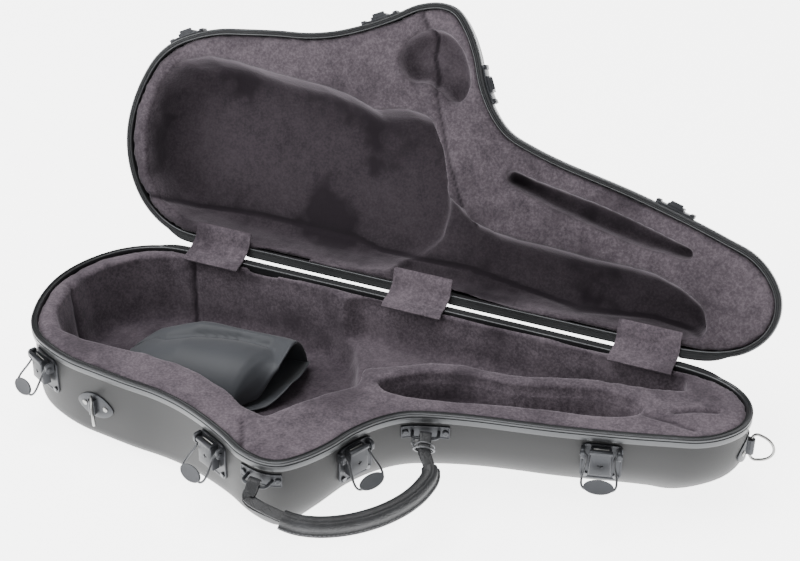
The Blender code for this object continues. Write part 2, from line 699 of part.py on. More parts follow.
def make_handle(outline, leather, steel):
    ends = handle_ends(outline)
    middle = (ends[0] + ends[1]) / 2
    axis = make_empty("handle_axis", Matrix.Translation(middle))
    fine = [point - middle for point in handle_line(outline, ends)]

    path = thin_path(fine, 4)
    last = len(path) - 1
    radii = [4.0 * MM + 3.6 * MM * min(1.0, 3.5 * math.sin(math.pi * k / last) ** 2) for k in range(last + 1)]
    core = make_object("handle_core", tube(path, radii, 10), leather, axis)
    for k, near in enumerate(HANDLE_PLACES):
        inner, outer = (fine[0], fine[3]) if k == 0 else (fine[-1], fine[-4])
        bm = end_loop(outline, near, ends[k] - middle, outer - inner)
        add_boolean(core, make_object(f"handle_loop_{k}", bm, None, axis), "UNION")

    # the grip sleeve is a hollow tube round the middle of the core
    frames = ring_frames(fine)[SLEEVE_SPAN[0]:SLEEVE_SPAN[1]:4]
    loops = []
    for radius, order in ((SLEEVE_RADIUS, frames), (8.2 * MM, frames[::-1])):
        for point, side, up in order:
            ring = circle((0, 0), radius, 12)
            loops.append([point + side * x + up * y for x, y in ring])
    make_object("handle_sleeve", loft(loops, closed=True), leather, axis)

    # a split ring round the strap near its neck end
    point, side, up = ring_frames(fine)[RING_SPOT]
    ring = [point + side * x + up * y for x, y in circle((0, 0), 10.2 * MM, 16)]
    make_object("handle_ring", tube(ring, 1.1 * MM, 5, closed=True), steel, axis)


# --- strap rings ----------------------------------------------------------

def make_strap_ring(index, outline, near, height, heading_deg, material):
    """A pointed oval plate with an upright barrel, and the D ring that swings in it."""
    frame = place_matrix(outline, near, height)
    name = f"ring_{index}"
    barrel_out = outline.face_offset(near, 0.0, SHELL_INSET) + 4.8 * MM
    plate = make_object(name + "_plate", eye_plate(
        outline, near, 20 * MM, 12 * MM, 0.0, GAP, 1.8 * MM, SHELL_INSET), material)
    plate.matrix_world = frame
    loops = []
    for radius, z in ((3.4, -8), (3.4, 8), (1.7, 8), (1.7, -8)):
        loops.append([(x, y + barrel_out, z * MM) for x, y in circle((0, 0), radius * MM, 12)])
    barrel = make_object(name + "_barrel", loft(loops, closed=True), None)
    barrel.matrix_world = frame
    add_boolean(plate, barrel, "UNION")
    bore = loft([[(x, y + barrel_out, z) for x, y in circle((0, 0), 1.7 * MM, 12)]
                 for z in (-12 * MM, 12 * MM)])
    hole = make_object(name + "_bore", bore, None)
    hole.matrix_world = frame
    add_boolean(plate, hole, "DIFFERENCE")

    turn = Matrix.Rotation(math.radians(heading_deg), 4, "Z")
    pivot = make_empty(name + "_axis", frame @ Matrix.Translation((0, barrel_out, 0)) @ turn)
    tall, reach = 13.5 * MM, 20 * MM
    path = [(0, 0, -9 * MM), (0, 0, -4 * MM), (0, 0, 4 * MM), (0, 0, 9 * MM)]
    for k in range(15):
        a = math.pi / 2 - math.pi * k / 14
        bulge = 3.2 * MM + (reach - 3.2 * MM) * max(math.cos(a), 0.0)
        path.append((0, bulge, tall * math.sin(a)))
    make_object(name, tube(path, 1.25 * MM, 6, closed=True), material, pivot)


# --- pouch ----------------------------------------------------------------

def make_pouch(material):
    """A soft sleeve lying in the bell's hollow, low at one end and open at the other."""
    floor = BASE_DEPTH - 67 * MM
    stations = [
        dict(x=-250, y=35, width=40, height=14), dict(x=-215, y=33, width=47, height=27),
        dict(x=-170, y=30, width=52, height=38), dict(x=-120, y=26, width=56, height=45),
        dict(x=-74, y=22, width=58, height=49)]

    def section(station, inward, x_shift=0.0):
        loop = []
        half_width = station["width"] - inward
        tall = station["height"] - 2 * inward
        for k in range(20):
            a = math.tau * k / 20
            across = half_width * math.copysign(abs(math.cos(a)) ** 0.7, math.cos(a))
            up = 0.5 + 0.5 * math.copysign(abs(math.sin(a)) ** 0.7, math.sin(a))
            valley = 1 - 0.16 * math.exp(-(across / 13) ** 2) * (up > 0.5)
            loop.append(((station["x"] + x_shift) * MM, (station["y"] + across) * MM,
                         floor + (inward + tall * up * valley) * MM))
        return loop

    outside = [section(s, 0.0) for s in stations]
    inside = [section(s, 1.8) for s in stations[1:]]
    inside[0] = section(stations[1], 1.8, -12)
    make_object("pouch", loft(outside + inside[::-1]), material)


def main():
    clear_scene()
    shell = make_material("shell", (0.09, 0.092, 0.095), 0.55)
    rim = make_material("rim", (0.12, 0.12, 0.125), 0.35, 0.6)
    velour = make_material("velour", (0.10, 0.085, 0.10), 0.95)
    hardware = make_material("hardware", (0.035, 0.037, 0.042), 0.35, 0.7)
    steel = make_material("steel", (0.35, 0.35, 0.34), 0.3, 1.0)
    leather = make_material("leather", (0.045, 0.045, 0.05), 0.45)
    vinyl = make_material("vinyl", (0.05, 0.055, 0.065), 0.6)

    outline = Outline()
    axis_place = Matrix.Translation((0, HINGE_Y, BASE_DEPTH))
    lid_axis = make_empty("lid_axis", axis_place @ Matrix.Rotation(math.radians(-LID_OPEN_DEG), 4, "X"))
    halves = [Half("base", BASE_DEPTH, -1, 58 * MM), Half("lid", LID_DEPTH, 1, 20 * MM, lid_axis)]
    for half, hollows in zip(halves, (BASE_HOLLOWS, LID_HOLLOWS)):
        make_shell(outline, half, shell)
        make_rim(outline, half, rim)
        make_lining(outline, half, hollows, velour)

    for index, centre in enumerate(HINGE_CENTRES, 1):
        make_hinge(index, centre, lid_axis, hardware)
        make_hinge_cover(index, centre, velour)
    for index, near in enumerate(LATCH_PLACES, 1):
        make_latch(index, outline, near, hardware, hardware, hardware)
    for index, near in enumerate(CATCH_PLACES, 1):
        make_catch(index, outline, near, lid_axis, hardware)

    for index, near in enumerate(HANDLE_PLACES, 1):
        make_handle_bracket(index, outline, near, hardware)
        for side in (-1, 1):
            letter = "a" if side < 0 else "b"
            make_rivet(f"handle_rivet_{index}{letter}", outline, near, side * 17.2 * MM, HANDLE_LEVEL,
                       1.8 * MM + RIVET_STAND, steel)
    make_handle(outline, leather, steel)

    for index, (near, height, heading) in enumerate(zip(RING_PLACES, RING_LEVELS, RING_HEADINGS), 1):
        make_strap_ring(index, outline, near, height, heading, hardware)
        for side in (-1, 1):
            letter = "a" if side < 0 else "b"
            make_rivet(f"ring_rivet_{index}{letter}", outline, near, side * 11.5 * MM, height,
                       1.8 * MM + RIVET_STAND, steel)
    make_pouch(vinyl)


main()
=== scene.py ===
import json
import math

import bmesh
import bpy
import numpy as np
from mathutils import Matrix, Vector, kdtree, noise

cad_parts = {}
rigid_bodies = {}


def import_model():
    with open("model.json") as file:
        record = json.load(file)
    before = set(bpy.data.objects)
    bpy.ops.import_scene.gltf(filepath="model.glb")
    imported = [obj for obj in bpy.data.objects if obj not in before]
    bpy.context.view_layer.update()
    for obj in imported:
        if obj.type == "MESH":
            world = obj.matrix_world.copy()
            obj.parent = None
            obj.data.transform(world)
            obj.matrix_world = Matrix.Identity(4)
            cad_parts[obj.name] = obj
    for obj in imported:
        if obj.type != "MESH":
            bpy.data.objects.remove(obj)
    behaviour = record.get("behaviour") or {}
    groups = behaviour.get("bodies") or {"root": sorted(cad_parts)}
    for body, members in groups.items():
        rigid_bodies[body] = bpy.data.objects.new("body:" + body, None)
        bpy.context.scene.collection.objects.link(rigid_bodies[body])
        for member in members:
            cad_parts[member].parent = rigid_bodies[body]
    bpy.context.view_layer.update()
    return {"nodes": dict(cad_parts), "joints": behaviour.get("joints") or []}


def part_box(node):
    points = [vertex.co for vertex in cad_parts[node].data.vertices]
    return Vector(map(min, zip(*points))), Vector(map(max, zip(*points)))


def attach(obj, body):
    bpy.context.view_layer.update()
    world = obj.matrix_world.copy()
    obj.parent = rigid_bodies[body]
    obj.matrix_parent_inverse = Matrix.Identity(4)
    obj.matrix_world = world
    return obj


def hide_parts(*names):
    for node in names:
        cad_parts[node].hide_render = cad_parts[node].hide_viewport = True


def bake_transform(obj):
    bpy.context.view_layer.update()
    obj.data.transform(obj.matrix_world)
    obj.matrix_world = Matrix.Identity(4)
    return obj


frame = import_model()
nodes = frame["nodes"]
joints = {joint["name"]: joint for joint in frame["joints"]}
mm = 0.001

hinge = Vector(joints["lid_hinge"]["pos_m"])
openAngle = math.radians(joints["lid_hinge"]["range_deg"][1])
# the lid is modelled closed over the base, then swung open by this
lidSwing = Matrix.Translation(hinge) @ Matrix.Rotation(-openAngle, 4, "X") @ Matrix.Translation(-hinge)
rimPlane = hinge.z


# ways of selecting and making

def deselectAll():
    for item in bpy.context.scene.objects:
        item.select_set(False)


def makeActive(item):
    deselectAll()
    item.select_set(True)
    bpy.context.view_layer.objects.active = item


def enterEdit(item, kind="VERT"):
    makeActive(item)
    bpy.ops.object.mode_set(mode="EDIT")
    bpy.ops.mesh.select_mode(type=kind)


def leaveEdit():
    bpy.ops.object.mode_set(mode="OBJECT")


def pickFaces(item, test):
    enterEdit(item, "FACE")
    bpy.ops.mesh.select_all(action="DESELECT")
    leaveEdit()
    for face in item.data.polygons:
        face.select = bool(test(face.center, face.normal))
    enterEdit(item, "FACE")


def pickEdges(item, test):
    enterEdit(item, "EDGE")
    bpy.ops.mesh.select_all(action="DESELECT")
    leaveEdit()
    points = item.data.vertices
    for edge in item.data.edges:
        a, b = (points[i].co for i in edge.vertices)
        edge.select = bool(test((a + b) / 2, (b - a).normalized()))
    enterEdit(item, "EDGE")


def bevelEdges(item, test, width, segments=3, worn=-1):
    pickEdges(item, test)
    bpy.ops.mesh.bevel(offset=width, segments=segments, profile=0.5, affect="EDGES", material=worn)
    leaveEdit()


def applyModifier(item, kind, **settings):
    makeActive(item)
    modifier = item.modifiers.new(kind.title(), kind)
    for key, value in settings.items():
        setattr(modifier, key, value)
    bpy.ops.object.modifier_apply(modifier=modifier.name)


def addBox(name, low, high):
    deselectAll()
    size = [(b - a) * mm for a, b in zip(low, high)]
    middle = [(a + b) / 2 * mm for a, b in zip(low, high)]
    bpy.ops.mesh.primitive_cube_add(size=1, location=middle, scale=size)
    bpy.ops.object.transform_apply(location=True, rotation=True, scale=True)
    item = bpy.context.object
    item.name = name
    return item


def addRod(name, radius, low, high, turn=(0, 0, 0), sides=32):
    deselectAll()
    middle = [(a + b) / 2 * mm for a, b in zip(low, high)]
    depth = (Vector(high) - Vector(low)).length * mm
    bpy.ops.mesh.primitive_cylinder_add(vertices=sides, radius=radius * mm, depth=depth,
                                        location=middle, rotation=turn)
    bpy.ops.object.transform_apply(location=True, rotation=True, scale=True)
    item = bpy.context.object
    item.name = name
    return item


def addWire(name, points, radius, closed=False, sides=4):
    curve = bpy.data.curves.new(name, "CURVE")
    curve.dimensions = "3D"
    curve.bevel_depth = radius * mm
    curve.bevel_resolution = sides
    curve.use_fill_caps = True
    spline = curve.splines.new("BEZIER")
    spline.bezier_points.add(len(points) - 1)
    for spot, point in zip(spline.bezier_points, points):
        spot.co = Vector(point) * mm
        spot.handle_left_type = spot.handle_right_type = "AUTO"
    spline.use_cyclic_u = closed
    spline.resolution_u = 6
    item = bpy.data.objects.new(name, curve)
    bpy.context.scene.collection.objects.link(item)
    makeActive(item)
    bpy.ops.object.convert(target="MESH")
    item = bpy.context.object
    enterEdit(item)
    bpy.ops.mesh.select_all(action="SELECT")
    bpy.ops.mesh.remove_doubles(threshold=0.00001)
    bpy.ops.mesh.normals_make_consistent(inside=False)
    leaveEdit()
    return item


def joinPieces(first, *others):
    deselectAll()
    for item in (first, *others):
        item.select_set(True)
    bpy.context.view_layer.objects.active = first
    bpy.ops.object.join()
    return first


def cutOut(item, cutter):
    modifier = item.modifiers.new("Cut", "BOOLEAN")
    modifier.operation = "DIFFERENCE"
    modifier.solver = "EXACT"
    modifier.object = cutter
    makeActive(item)
    bpy.ops.object.modifier_apply(modifier=modifier.name)
    bpy.data.objects.remove(cutter)


def copyOf(item, name, matrix):
    mesh = item.data.copy()
    mesh.name = name
    piece = bpy.data.objects.new(name, mesh)
    bpy.context.scene.collection.objects.link(piece)
    mesh.transform(matrix)
    return piece


def copyOfNode(node, name, matrix=Matrix.Identity(4)):
    piece = copyOf(nodes[node], name, matrix)
    piece.data.materials.clear()
    enterEdit(piece)
    bpy.ops.mesh.select_all(action="SELECT")
    bpy.ops.mesh.remove_doubles(threshold=0.00002)
    bpy.ops.mesh.customdata_custom_splitnormals_clear()
    bpy.ops.mesh.tris_convert_to_quads(face_threshold=math.radians(30), shape_threshold=math.radians(40))
    leaveEdit()
    return piece


def readPoints(item):
    flat = np.zeros(len(item.data.vertices) * 3)
    item.data.vertices.foreach_get("co", flat)
    return flat.reshape(-1, 3)


def readNormals(item):
    flat = np.zeros(len(item.data.vertices) * 3)
    item.data.vertices.foreach_get("normal", flat)
    return flat.reshape(-1, 3)


def writePoints(item, points):
    item.data.vertices.foreach_set("co", points.ravel())
    item.data.update()


def shadeSmooth(item, sharp=None):
    makeActive(item)
    if sharp is None:
        bpy.ops.object.shade_smooth()
    else:
        bpy.ops.object.shade_smooth_by_angle(angle=math.radians(sharp))


def finishPiece(item, body, finishes, stands=(), sharp=35):
    item.data.materials.clear()
    for finish in (finishes if isinstance(finishes, (list, tuple)) else [finishes]):
        item.data.materials.append(finish)
    shadeSmooth(item, sharp)
    if stands:
        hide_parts(*stands)
    if isinstance(body, str):
        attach(item, body)
    return item


# the case's plan shape, read from the base's rim

def closedCurve(points, steps):
    points = np.array(points, float)
    count = len(points)
    curve = []
    for i in range(count):
        p = [points[(i + k) % count] for k in (-1, 0, 1, 2)]
        t = [0.0]
        for a, b in zip(p, p[1:]):
            t.append(t[-1] + math.sqrt(np.linalg.norm(b - a)))
        for step in range(steps):
            s = t[1] + (t[2] - t[1]) * step / steps
            a = [((t[k + 1] - s) * p[k] + (s - t[k]) * p[k + 1]) / (t[k + 1] - t[k]) for k in range(3)]
            b = [((t[k + 2] - s) * a[k] + (s - t[k]) * a[k + 1]) / (t[k + 2] - t[k]) for k in range(2)]
            curve.append(((t[2] - s) * b[0] + (s - t[1]) * b[1]) / (t[2] - t[1]))
    return np.array(curve)


def outwardOf(curve):
    tangent = np.roll(curve, -1, 0) - np.roll(curve, 1, 0)
    tangent /= np.linalg.norm(tangent, axis=1)[:, None]
    normal = np.stack([tangent[:, 1], -tangent[:, 0]], 1)
    area = np.sum(curve[:, 0] * np.roll(curve[:, 1], -1) - np.roll(curve[:, 0], -1) * curve[:, 1])
    return normal if area > 0 else -normal


def readOutline():
    piece = copyOfNode("base_rim", "outline_guide")
    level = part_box("base_rim")[1].z - 1.0 * mm
    spots = {v.index for v in piece.data.vertices if abs(v.co.z - level) < 0.15 * mm}
    beside = {i: [] for i in spots}
    for edge in piece.data.edges:
        a, b = edge.vertices
        if a in spots and b in spots:
            beside[a].append(b)
            beside[b].append(a)
    start = min(spots)
    walk = [start]
    last = None
    while True:
        onward = [i for i in beside[walk[-1]] if i != last and i != walk[-1]]
        last = walk[-1]
        if not onward or onward[0] == start and len(walk) > 2:
            break
        walk.append(onward[0])
        if len(walk) > len(spots):
            break
    ring = [piece.data.vertices[i].co.xy for i in walk]
    bpy.data.objects.remove(piece)
    if len(ring) != len(spots):
        raise ValueError("the rim's outline could not be followed")
    return closedCurve(ring, 8)


outline = readOutline()
outward = outwardOf(outline)
steps = np.linalg.norm(np.roll(outline, -1, 0) - outline, axis=1)
alongOutline = np.concatenate([[0], np.cumsum(steps)])
print("outline", len(outline), "points,", round(float(alongOutline[-1]), 3), "m round")


def wallFrame(x, y, height):
    k = int(np.argmin(np.hypot(outline[:, 0] - x * mm, outline[:, 1] - y * mm)))
    out = Vector((*outward[k], 0))
    side = out.cross(Vector((0, 0, 1)))
    return Matrix(((side.x, out.x, 0, outline[k][0]), (side.y, out.y, 0, outline[k][1]),
                   (0, 0, 1, rimPlane + height), (0, 0, 0, 1)))


def bendToWall(item, matrix):
    # moves each point so that its distance along x runs along the wall
    place = matrix.translation
    start = int(np.argmin(np.hypot(outline[:, 0] - place.x, outline[:, 1] - place.y)))
    ahead = np.roll(outline, -1, 0) - outline
    side = np.array(matrix.col[0].xy)
    way = 1 if ahead[start] @ side > 0 else -1
    total = alongOutline[-1]
    closed = np.vstack([outline, outline[:1]])
    closedOut = np.vstack([outward, outward[:1]])
    points = readPoints(item)
    spots = (alongOutline[start] + way * points[:, 0]) % total
    for k in (0, 1):
        base = np.interp(spots, alongOutline, closed[:, k])
        lean = np.interp(spots, alongOutline, closedOut[:, k])
        column = base + lean * points[:, 1]
        if k == 0:
            newX = column
        else:
            newY = column
    points[:, 0] = newX
    points[:, 1] = newY
    points[:, 2] += place.z
    writePoints(item, points)
    return item


# materials

class Wire:
    def __init__(self, maker, socket):
        self.maker = maker
        self.socket = socket

    def sum(self, operation, *terms):
        return self.maker.node("ShaderNodeMath", {"operation": operation}, dict(enumerate(terms)))

    def __add__(self, other):
        return self.sum("ADD", self, other)

    def __sub__(self, other):
        return self.sum("SUBTRACT", self, other)

    def __rsub__(self, other):
        return self.sum("SUBTRACT", other, self)

    def __mul__(self, other):
        return self.sum("MULTIPLY", self, other)

    __radd__ = __add__
    __rmul__ = __mul__

    def between(self, low, high, to=(0, 1)):
        limits = {"From Min": low, "From Max": high, "To Min": to[0], "To Max": to[1]}
        return self.maker.node("ShaderNodeMapRange", {"interpolation_type": "SMOOTHSTEP"},
                               {"Value": self, **limits})


class Finish:
    def __init__(self, name, **fixed):
        self.material = bpy.data.materials.new(name)
        self.material.use_nodes = True
        self.tree = self.material.node_tree
        self.shader = self.tree.nodes["Principled BSDF"]
        for key, value in fixed.items():
            self.shader.inputs[key.replace("_", " ")].default_value = value
        self.place = self.node("ShaderNodeTexCoord", {}, {}, "Object")

    def node(self, kind, settings, inputs, out=0):
        item = self.tree.nodes.new(kind)
        for key, value in settings.items():
            setattr(item, key, value)
        for key, value in inputs.items():
            if isinstance(value, Wire):
                self.tree.links.new(value.socket, item.inputs[key])
            else:
                item.inputs[key].default_value = value
        return Wire(self, item.outputs[out])

    def grain(self, scale, detail=2.0, rough=0.5, place=None):
        return self.node("ShaderNodeTexNoise", {},
                         {"Vector": place or self.place, "Scale": scale, "Detail": detail,
                          "Roughness": rough})

    def cells(self, scale, feature="F1", place=None):
        return self.node("ShaderNodeTexVoronoi", {"feature": feature},
                         {"Vector": place or self.place, "Scale": scale})

    def blend(self, amount, first, second):
        return self.node("ShaderNodeMix", {"data_type": "RGBA"}, {0: amount, 6: first, 7: second}, 2)

    def feed(self, socket, value):
        self.tree.links.new(value.socket, self.shader.inputs[socket])

    def bump(self, height, distance, strength=1.0):
        self.feed("Normal", self.node("ShaderNodeBump", {}, {"Height": height, "Distance": distance,
                                                             "Strength": strength}))


def colour(red, green, blue):
    return (red, green, blue, 1)


# the first colour is the pile's own; the second is lighter, used partly for the pile's fine speckle and
# partly as painted sheen where the nap catches the light; the third is a near-black painted shade
velourLook = {"pile": (0.050, 0.041, 0.050), "paleNapAndSheen": (0.135, 0.112, 0.130),
              "shaded": (0.022, 0.017, 0.022),
              "napSize": 420, "patchSize": 16, "deepShade": 0.42}


# lift scales every colour of the velour; below 1 it paints the whole lining darker as shade
def makeVelour(name, look, lift=1.0):
    cloth = Finish(name, Roughness=0.95, Sheen_Weight=0.35, Sheen_Roughness=0.45,
                   Sheen_Tint=colour(0.75, 0.68, 0.75))
    cloth.shader.inputs["Specular IOR Level"].default_value = 0.12
    nap = cloth.grain(look["napSize"], 3, 0.7)
    tufts = cloth.grain(look["napSize"] * 0.28, 2, 0.6)
    patches = cloth.grain(look["patchSize"], 3, 0.55)
    strokes = cloth.grain(look["patchSize"] * 4.5, 2, 0.6)
    # painted sheen: broad patches and strokes where the nap catches the light are mixed towards the lighter
    # colour
    paleNapAndSheen = patches.between(0.44, 0.66) * 0.55 + strokes.between(0.42, 0.70) * 0.30
    # painted shade: this attribute darkens the velour in recesses, more the deeper they lie below the rim
    recess_shade = cloth.node("ShaderNodeAttribute", {"attribute_name": "recess_shade"}, {}, "Fac")
    # painted shade: this attribute darkens the velour along the seam grooves
    seam = cloth.node("ShaderNodeAttribute", {"attribute_name": "seam"}, {}, "Fac")
    # painted shade: darker nap patches, recesses and seams are mixed towards the near-black shaded colour
    shaded = (1 - patches).between(0.50, 0.72) * 0.6 + recess_shade * look["deepShade"] + seam * 0.9
    speckle = nap.between(0.38, 0.66) * 0.55 + tufts.between(0.35, 0.65) * 0.25
    pile = cloth.blend(speckle + paleNapAndSheen * 0.5, colour(*[c * lift for c in look["pile"]]),
                       colour(*[c * lift for c in look["paleNapAndSheen"]]))
    cloth.feed("Base Color", cloth.blend(shaded, pile, colour(*[c * lift for c in look["shaded"]])))
    cloth.bump(nap * 0.6 + tufts * 0.8, 0.9 * mm, 0.55)
    return cloth.material


def makeShellPlastic():
    skin = Finish("shell_plastic")
    skin.shader.inputs["Specular IOR Level"].default_value = 0.24
    fine = skin.grain(1500, 2, 0.6)
    broad = skin.grain(9, 3, 0.5)
    skin.feed("Base Color", skin.blend(broad * 0.6 + fine * 0.3, colour(0.010, 0.0102, 0.0106),
                                       colour(0.019, 0.0193, 0.020)))
    skin.feed("Roughness", 0.44 + broad * 0.12)
    skin.bump(fine, 0.25 * mm, 0.35)
    return skin.material


def makeRimMetal():
    metal = Finish("rim_metal", Metallic=0.85)
    streak = metal.node("ShaderNodeMapping", {}, {"Vector": metal.place, "Scale": (40, 40, 2200)})
    fine = metal.grain(1.0, 3, 0.6, streak)
    broad = metal.grain(14, 3, 0.6)
    metal.feed("Base Color", metal.blend(broad, colour(0.042, 0.043, 0.045), colour(0.072, 0.074, 0.077)))
    metal.feed("Roughness", 0.27 + fine * 0.12 + broad * 0.06)
    metal.bump(fine, 0.05 * mm, 0.4)
    return metal.material


def makeHardware(name, dark, light, roughness, metallic=0.55):
    paint = Finish(name, Metallic=metallic)
    fine = paint.grain(1100, 3, 0.6)
    broad = paint.grain(60, 3, 0.6)
    paint.feed("Base Color", paint.blend(broad, colour(*dark), colour(*light)))
    paint.feed("Roughness", roughness + fine * 0.12 + broad.between(0.4, 0.7) * 0.08)
    paint.bump(fine, 0.08 * mm, 0.35)
    return paint.material


def makeLeather():
    hide = Finish("handle_leather")
    hide.shader.inputs["Specular IOR Level"].default_value = 0.45
    pores = hide.cells(900)
    creases = hide.cells(170, "DISTANCE_TO_EDGE")
    broad = hide.grain(45, 3, 0.6)
    worn = broad.between(0.45, 0.75)
    hide.feed("Base Color", hide.blend(worn, colour(0.012, 0.0124, 0.014), colour(0.028, 0.029, 0.032)))
    hide.feed("Roughness", 0.42 + pores * 0.10 + broad * 0.08)
    hide.bump(creases.between(0.0, 0.12) * 0.7 + pores * 0.5, 0.35 * mm, 0.6)
    return hide.material


def makeVinyl():
    sheet = Finish("pouch_vinyl", Sheen_Weight=0.15, Sheen_Roughness=0.5)
    sheet.shader.inputs["Specular IOR Level"].default_value = 0.35
    fine = sheet.grain(1300, 3, 0.6)
    broad = sheet.grain(18, 2, 0.5)
    sheet.feed("Base Color", sheet.blend(broad, colour(0.032, 0.0345, 0.040), colour(0.050, 0.054, 0.062)))
    sheet.feed("Roughness", 0.52 + fine * 0.1)
    sheet.bump(fine, 0.15 * mm, 0.4)
    return sheet.material


def makeBacking():
    felt = Finish("cover_backing", Roughness=0.95)
    threads = felt.grain(1500, 2, 0.6)
    felt.feed("Base Color", felt.blend(threads, colour(0.38, 0.34, 0.27), colour(0.62, 0.57, 0.47)))
    felt.bump(threads, 0.4 * mm, 0.6)
    return felt.material


velour = makeVelour("velour_base", velourLook)
# painted shade: the lid's velour is a copy with every colour scaled to 0.66, since the lid faces away from
# the top light, and with stronger painted shade in its recesses
velourLid = makeVelour("velour_lid", {**velourLook, "deepShade": 0.62}, 0.66)
shellPlastic = makeShellPlastic()
rimMetal = makeRimMetal()
anthracite = makeHardware("anthracite_hardware", (0.020, 0.021, 0.024), (0.036, 0.038, 0.043), 0.34)
wornEdge = makeHardware("worn_edge", (0.22, 0.22, 0.23), (0.42, 0.42, 0.43), 0.28, 0.9)
paddlePaint = makeHardware("paddle_coating", (0.040, 0.042, 0.047), (0.060, 0.063, 0.070), 0.48, 0.1)
wireSteel = makeHardware("wire_steel", (0.075, 0.077, 0.082), (0.14, 0.142, 0.148), 0.30, 0.9)
ringSteel = makeHardware("ring_steel", (0.16, 0.16, 0.16), (0.30, 0.30, 0.29), 0.26, 0.95)
handleLeather = makeLeather()
pouchVinyl = makeVinyl()
coverBacking = makeBacking()
threadWax = makeHardware("stitch_thread", (0.070, 0.072, 0.078), (0.11, 0.112, 0.12), 0.6, 0.0)
print("materials", len(bpy.data.materials))


# shells: the outer skin is kept, smoothed along and given its wall

shellSizes = {"wall": 2.6, "cuts": 3}


def outerSkin(node, name, isLid):
    piece = copyOfNode(node, name, lidSwing.inverted() if isLid else Matrix.Identity(4))
    edge = rimPlane + (3.5 if isLid else -3.5) * mm
    pickFaces(piece, lambda c, n: abs(c.z - edge) < 0.4 * mm and abs(n.z) > 0.9)
    bpy.ops.mesh.delete(type="FACE")
    bpy.ops.mesh.select_all(action="SELECT")
    bpy.ops.mesh.separate(type="LOOSE")
    leaveEdit()
    skins = [o for o in bpy.context.selected_objects if o.type == "MESH"]
    skins.sort(key=lambda o: o.dimensions.x)
    for spare in skins[:-1]:
        bpy.data.objects.remove(spare)
    piece = skins[-1]
    piece.name = name
    # the flat face stays as it is, and only the rounded walls are smoothed along
    pickFaces(piece, lambda c, n: abs(n.z) < 0.985)
    bpy.ops.mesh.subdivide(number_cuts=shellSizes["cuts"], smoothness=1.0)
    leaveEdit()
    return piece


def makeShell(node, name, body, isLid):
    piece = outerSkin(node, name, isLid)
    points = readPoints(piece)
    if isLid:
        points[:, 2] = np.minimum(points[:, 2], rimPlane + 57 * mm)
    else:
        points[:, 2] = np.maximum(points[:, 2], 0.0)
    writePoints(piece, points)
    middle = points.mean(axis=0)
    if np.sum((points - middle) * readNormals(piece)) < 0:
        piece.data.flip_normals()
    applyModifier(piece, "SOLIDIFY", thickness=shellSizes["wall"] * mm, offset=-1)
    if isLid:
        piece.data.transform(lidSwing)
    finishPiece(piece, body, shellPlastic, [node], 40)


makeShell("base_shell", "base_shell_skin", "base", False)
makeShell("lid_shell", "lid_shell_skin", "lid", True)
print("shells done")


# rims: a channel of bent metal that follows the outline

rimSizes = {
    "base": [(1.2, 9.4), (0.3, 9.2), (0.0, 8.6), (0.0, 4.0), (0.8, 3.6), (0.8, 2.9), (0.0, 2.5), (0.0, 1.5),
             (0.3, 0.7), (1.0, 0.3), (2.3, 0.25), (2.7, 0.9), (4.0, 0.9), (4.4, 0.25), (5.4, 0.3), (5.9, 0.9),
             (6.0, 1.6), (6.0, 8.6), (5.2, 8.8), (5.0, 8.0), (5.0, 2.8), (2.6, 2.8), (2.6, 9.2)],
    "lid": [(1.2, 9.4), (0.3, 9.2), (0.0, 8.6), (0.0, 4.0), (0.8, 3.6), (0.8, 2.9), (0.0, 2.5), (0.0, 1.5),
            (0.3, 0.7), (1.0, 0.3), (1.9, 0.25), (2.2, 0.8), (2.7, 0.8), (3.0, 0.25), (3.6, 0.25), (3.9, 0.8),
            (4.4, 0.8), (4.7, 0.25), (5.4, 0.3), (5.9, 0.9), (6.0, 1.6), (6.0, 8.6), (5.2, 8.8), (5.0, 8.0),
            (5.0, 2.8), (2.6, 2.8), (2.6, 9.2)],
    "backRib": 3.3,   # how far the straight back face comes out towards the hinge line
}


def backRib():
    facing = np.clip((outward[:, 1] - 0.94) / 0.05, 0, 1)
    for index in (1, 2, 3):
        low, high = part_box(f"hinge_{index}_base_leaf")
        middle = (low.x + high.x) / 2
        facing *= np.clip((np.abs(outline[:, 0] - middle) - 26.5 * mm) / (2 * mm), 0, 1)
    return facing * rimSizes["backRib"] * mm


def makeRim(node, name, body, isLid):
    profile = rimSizes[body]
    sign = 1 if isLid else -1
    count = len(outline)
    points = []
    rib = backRib()[:, None]
    for inset, depth in profile:
        reach = rib if inset < 2.5 and depth < 9.3 else rib * 0
        ring = outline - outward * (inset * mm - reach)
        points += [(x, y, rimPlane + sign * depth * mm) for x, y in ring]
    faces = []
    for row in range(len(profile)):
        nextRow = (row + 1) % len(profile)
        for k in range(count):
            n = (k + 1) % count
            faces.append((row * count + k, row * count + n, nextRow * count + n, nextRow * count + k))
    mesh = bpy.data.meshes.new(name)
    mesh.from_pydata(points, [], faces)
    piece = bpy.data.objects.new(name, mesh)
    bpy.context.scene.collection.objects.link(piece)
    enterEdit(piece)
    bpy.ops.mesh.select_all(action="SELECT")
    bpy.ops.mesh.normals_make_consistent(inside=False)
    leaveEdit()
    if isLid:
        piece.data.transform(lidSwing)
    finishPiece(piece, body, rimMetal, [node], 50)


makeRim("base_rim", "base_rim_channel", "base", False)
makeRim("lid_rim", "lid_rim_channel", "lid", True)
print("rims done")


# linings: padding swelled from the pressed block, with seams and soft waves in the pile

liningSizes = {"voxel": 2.6, "rounding": 8, "crown": 2.6, "wave": 0.9, "seamDepth": 2.0, "seamWidth": 2.2,
               "spread": 2.1, "grooveFill": 0.58}
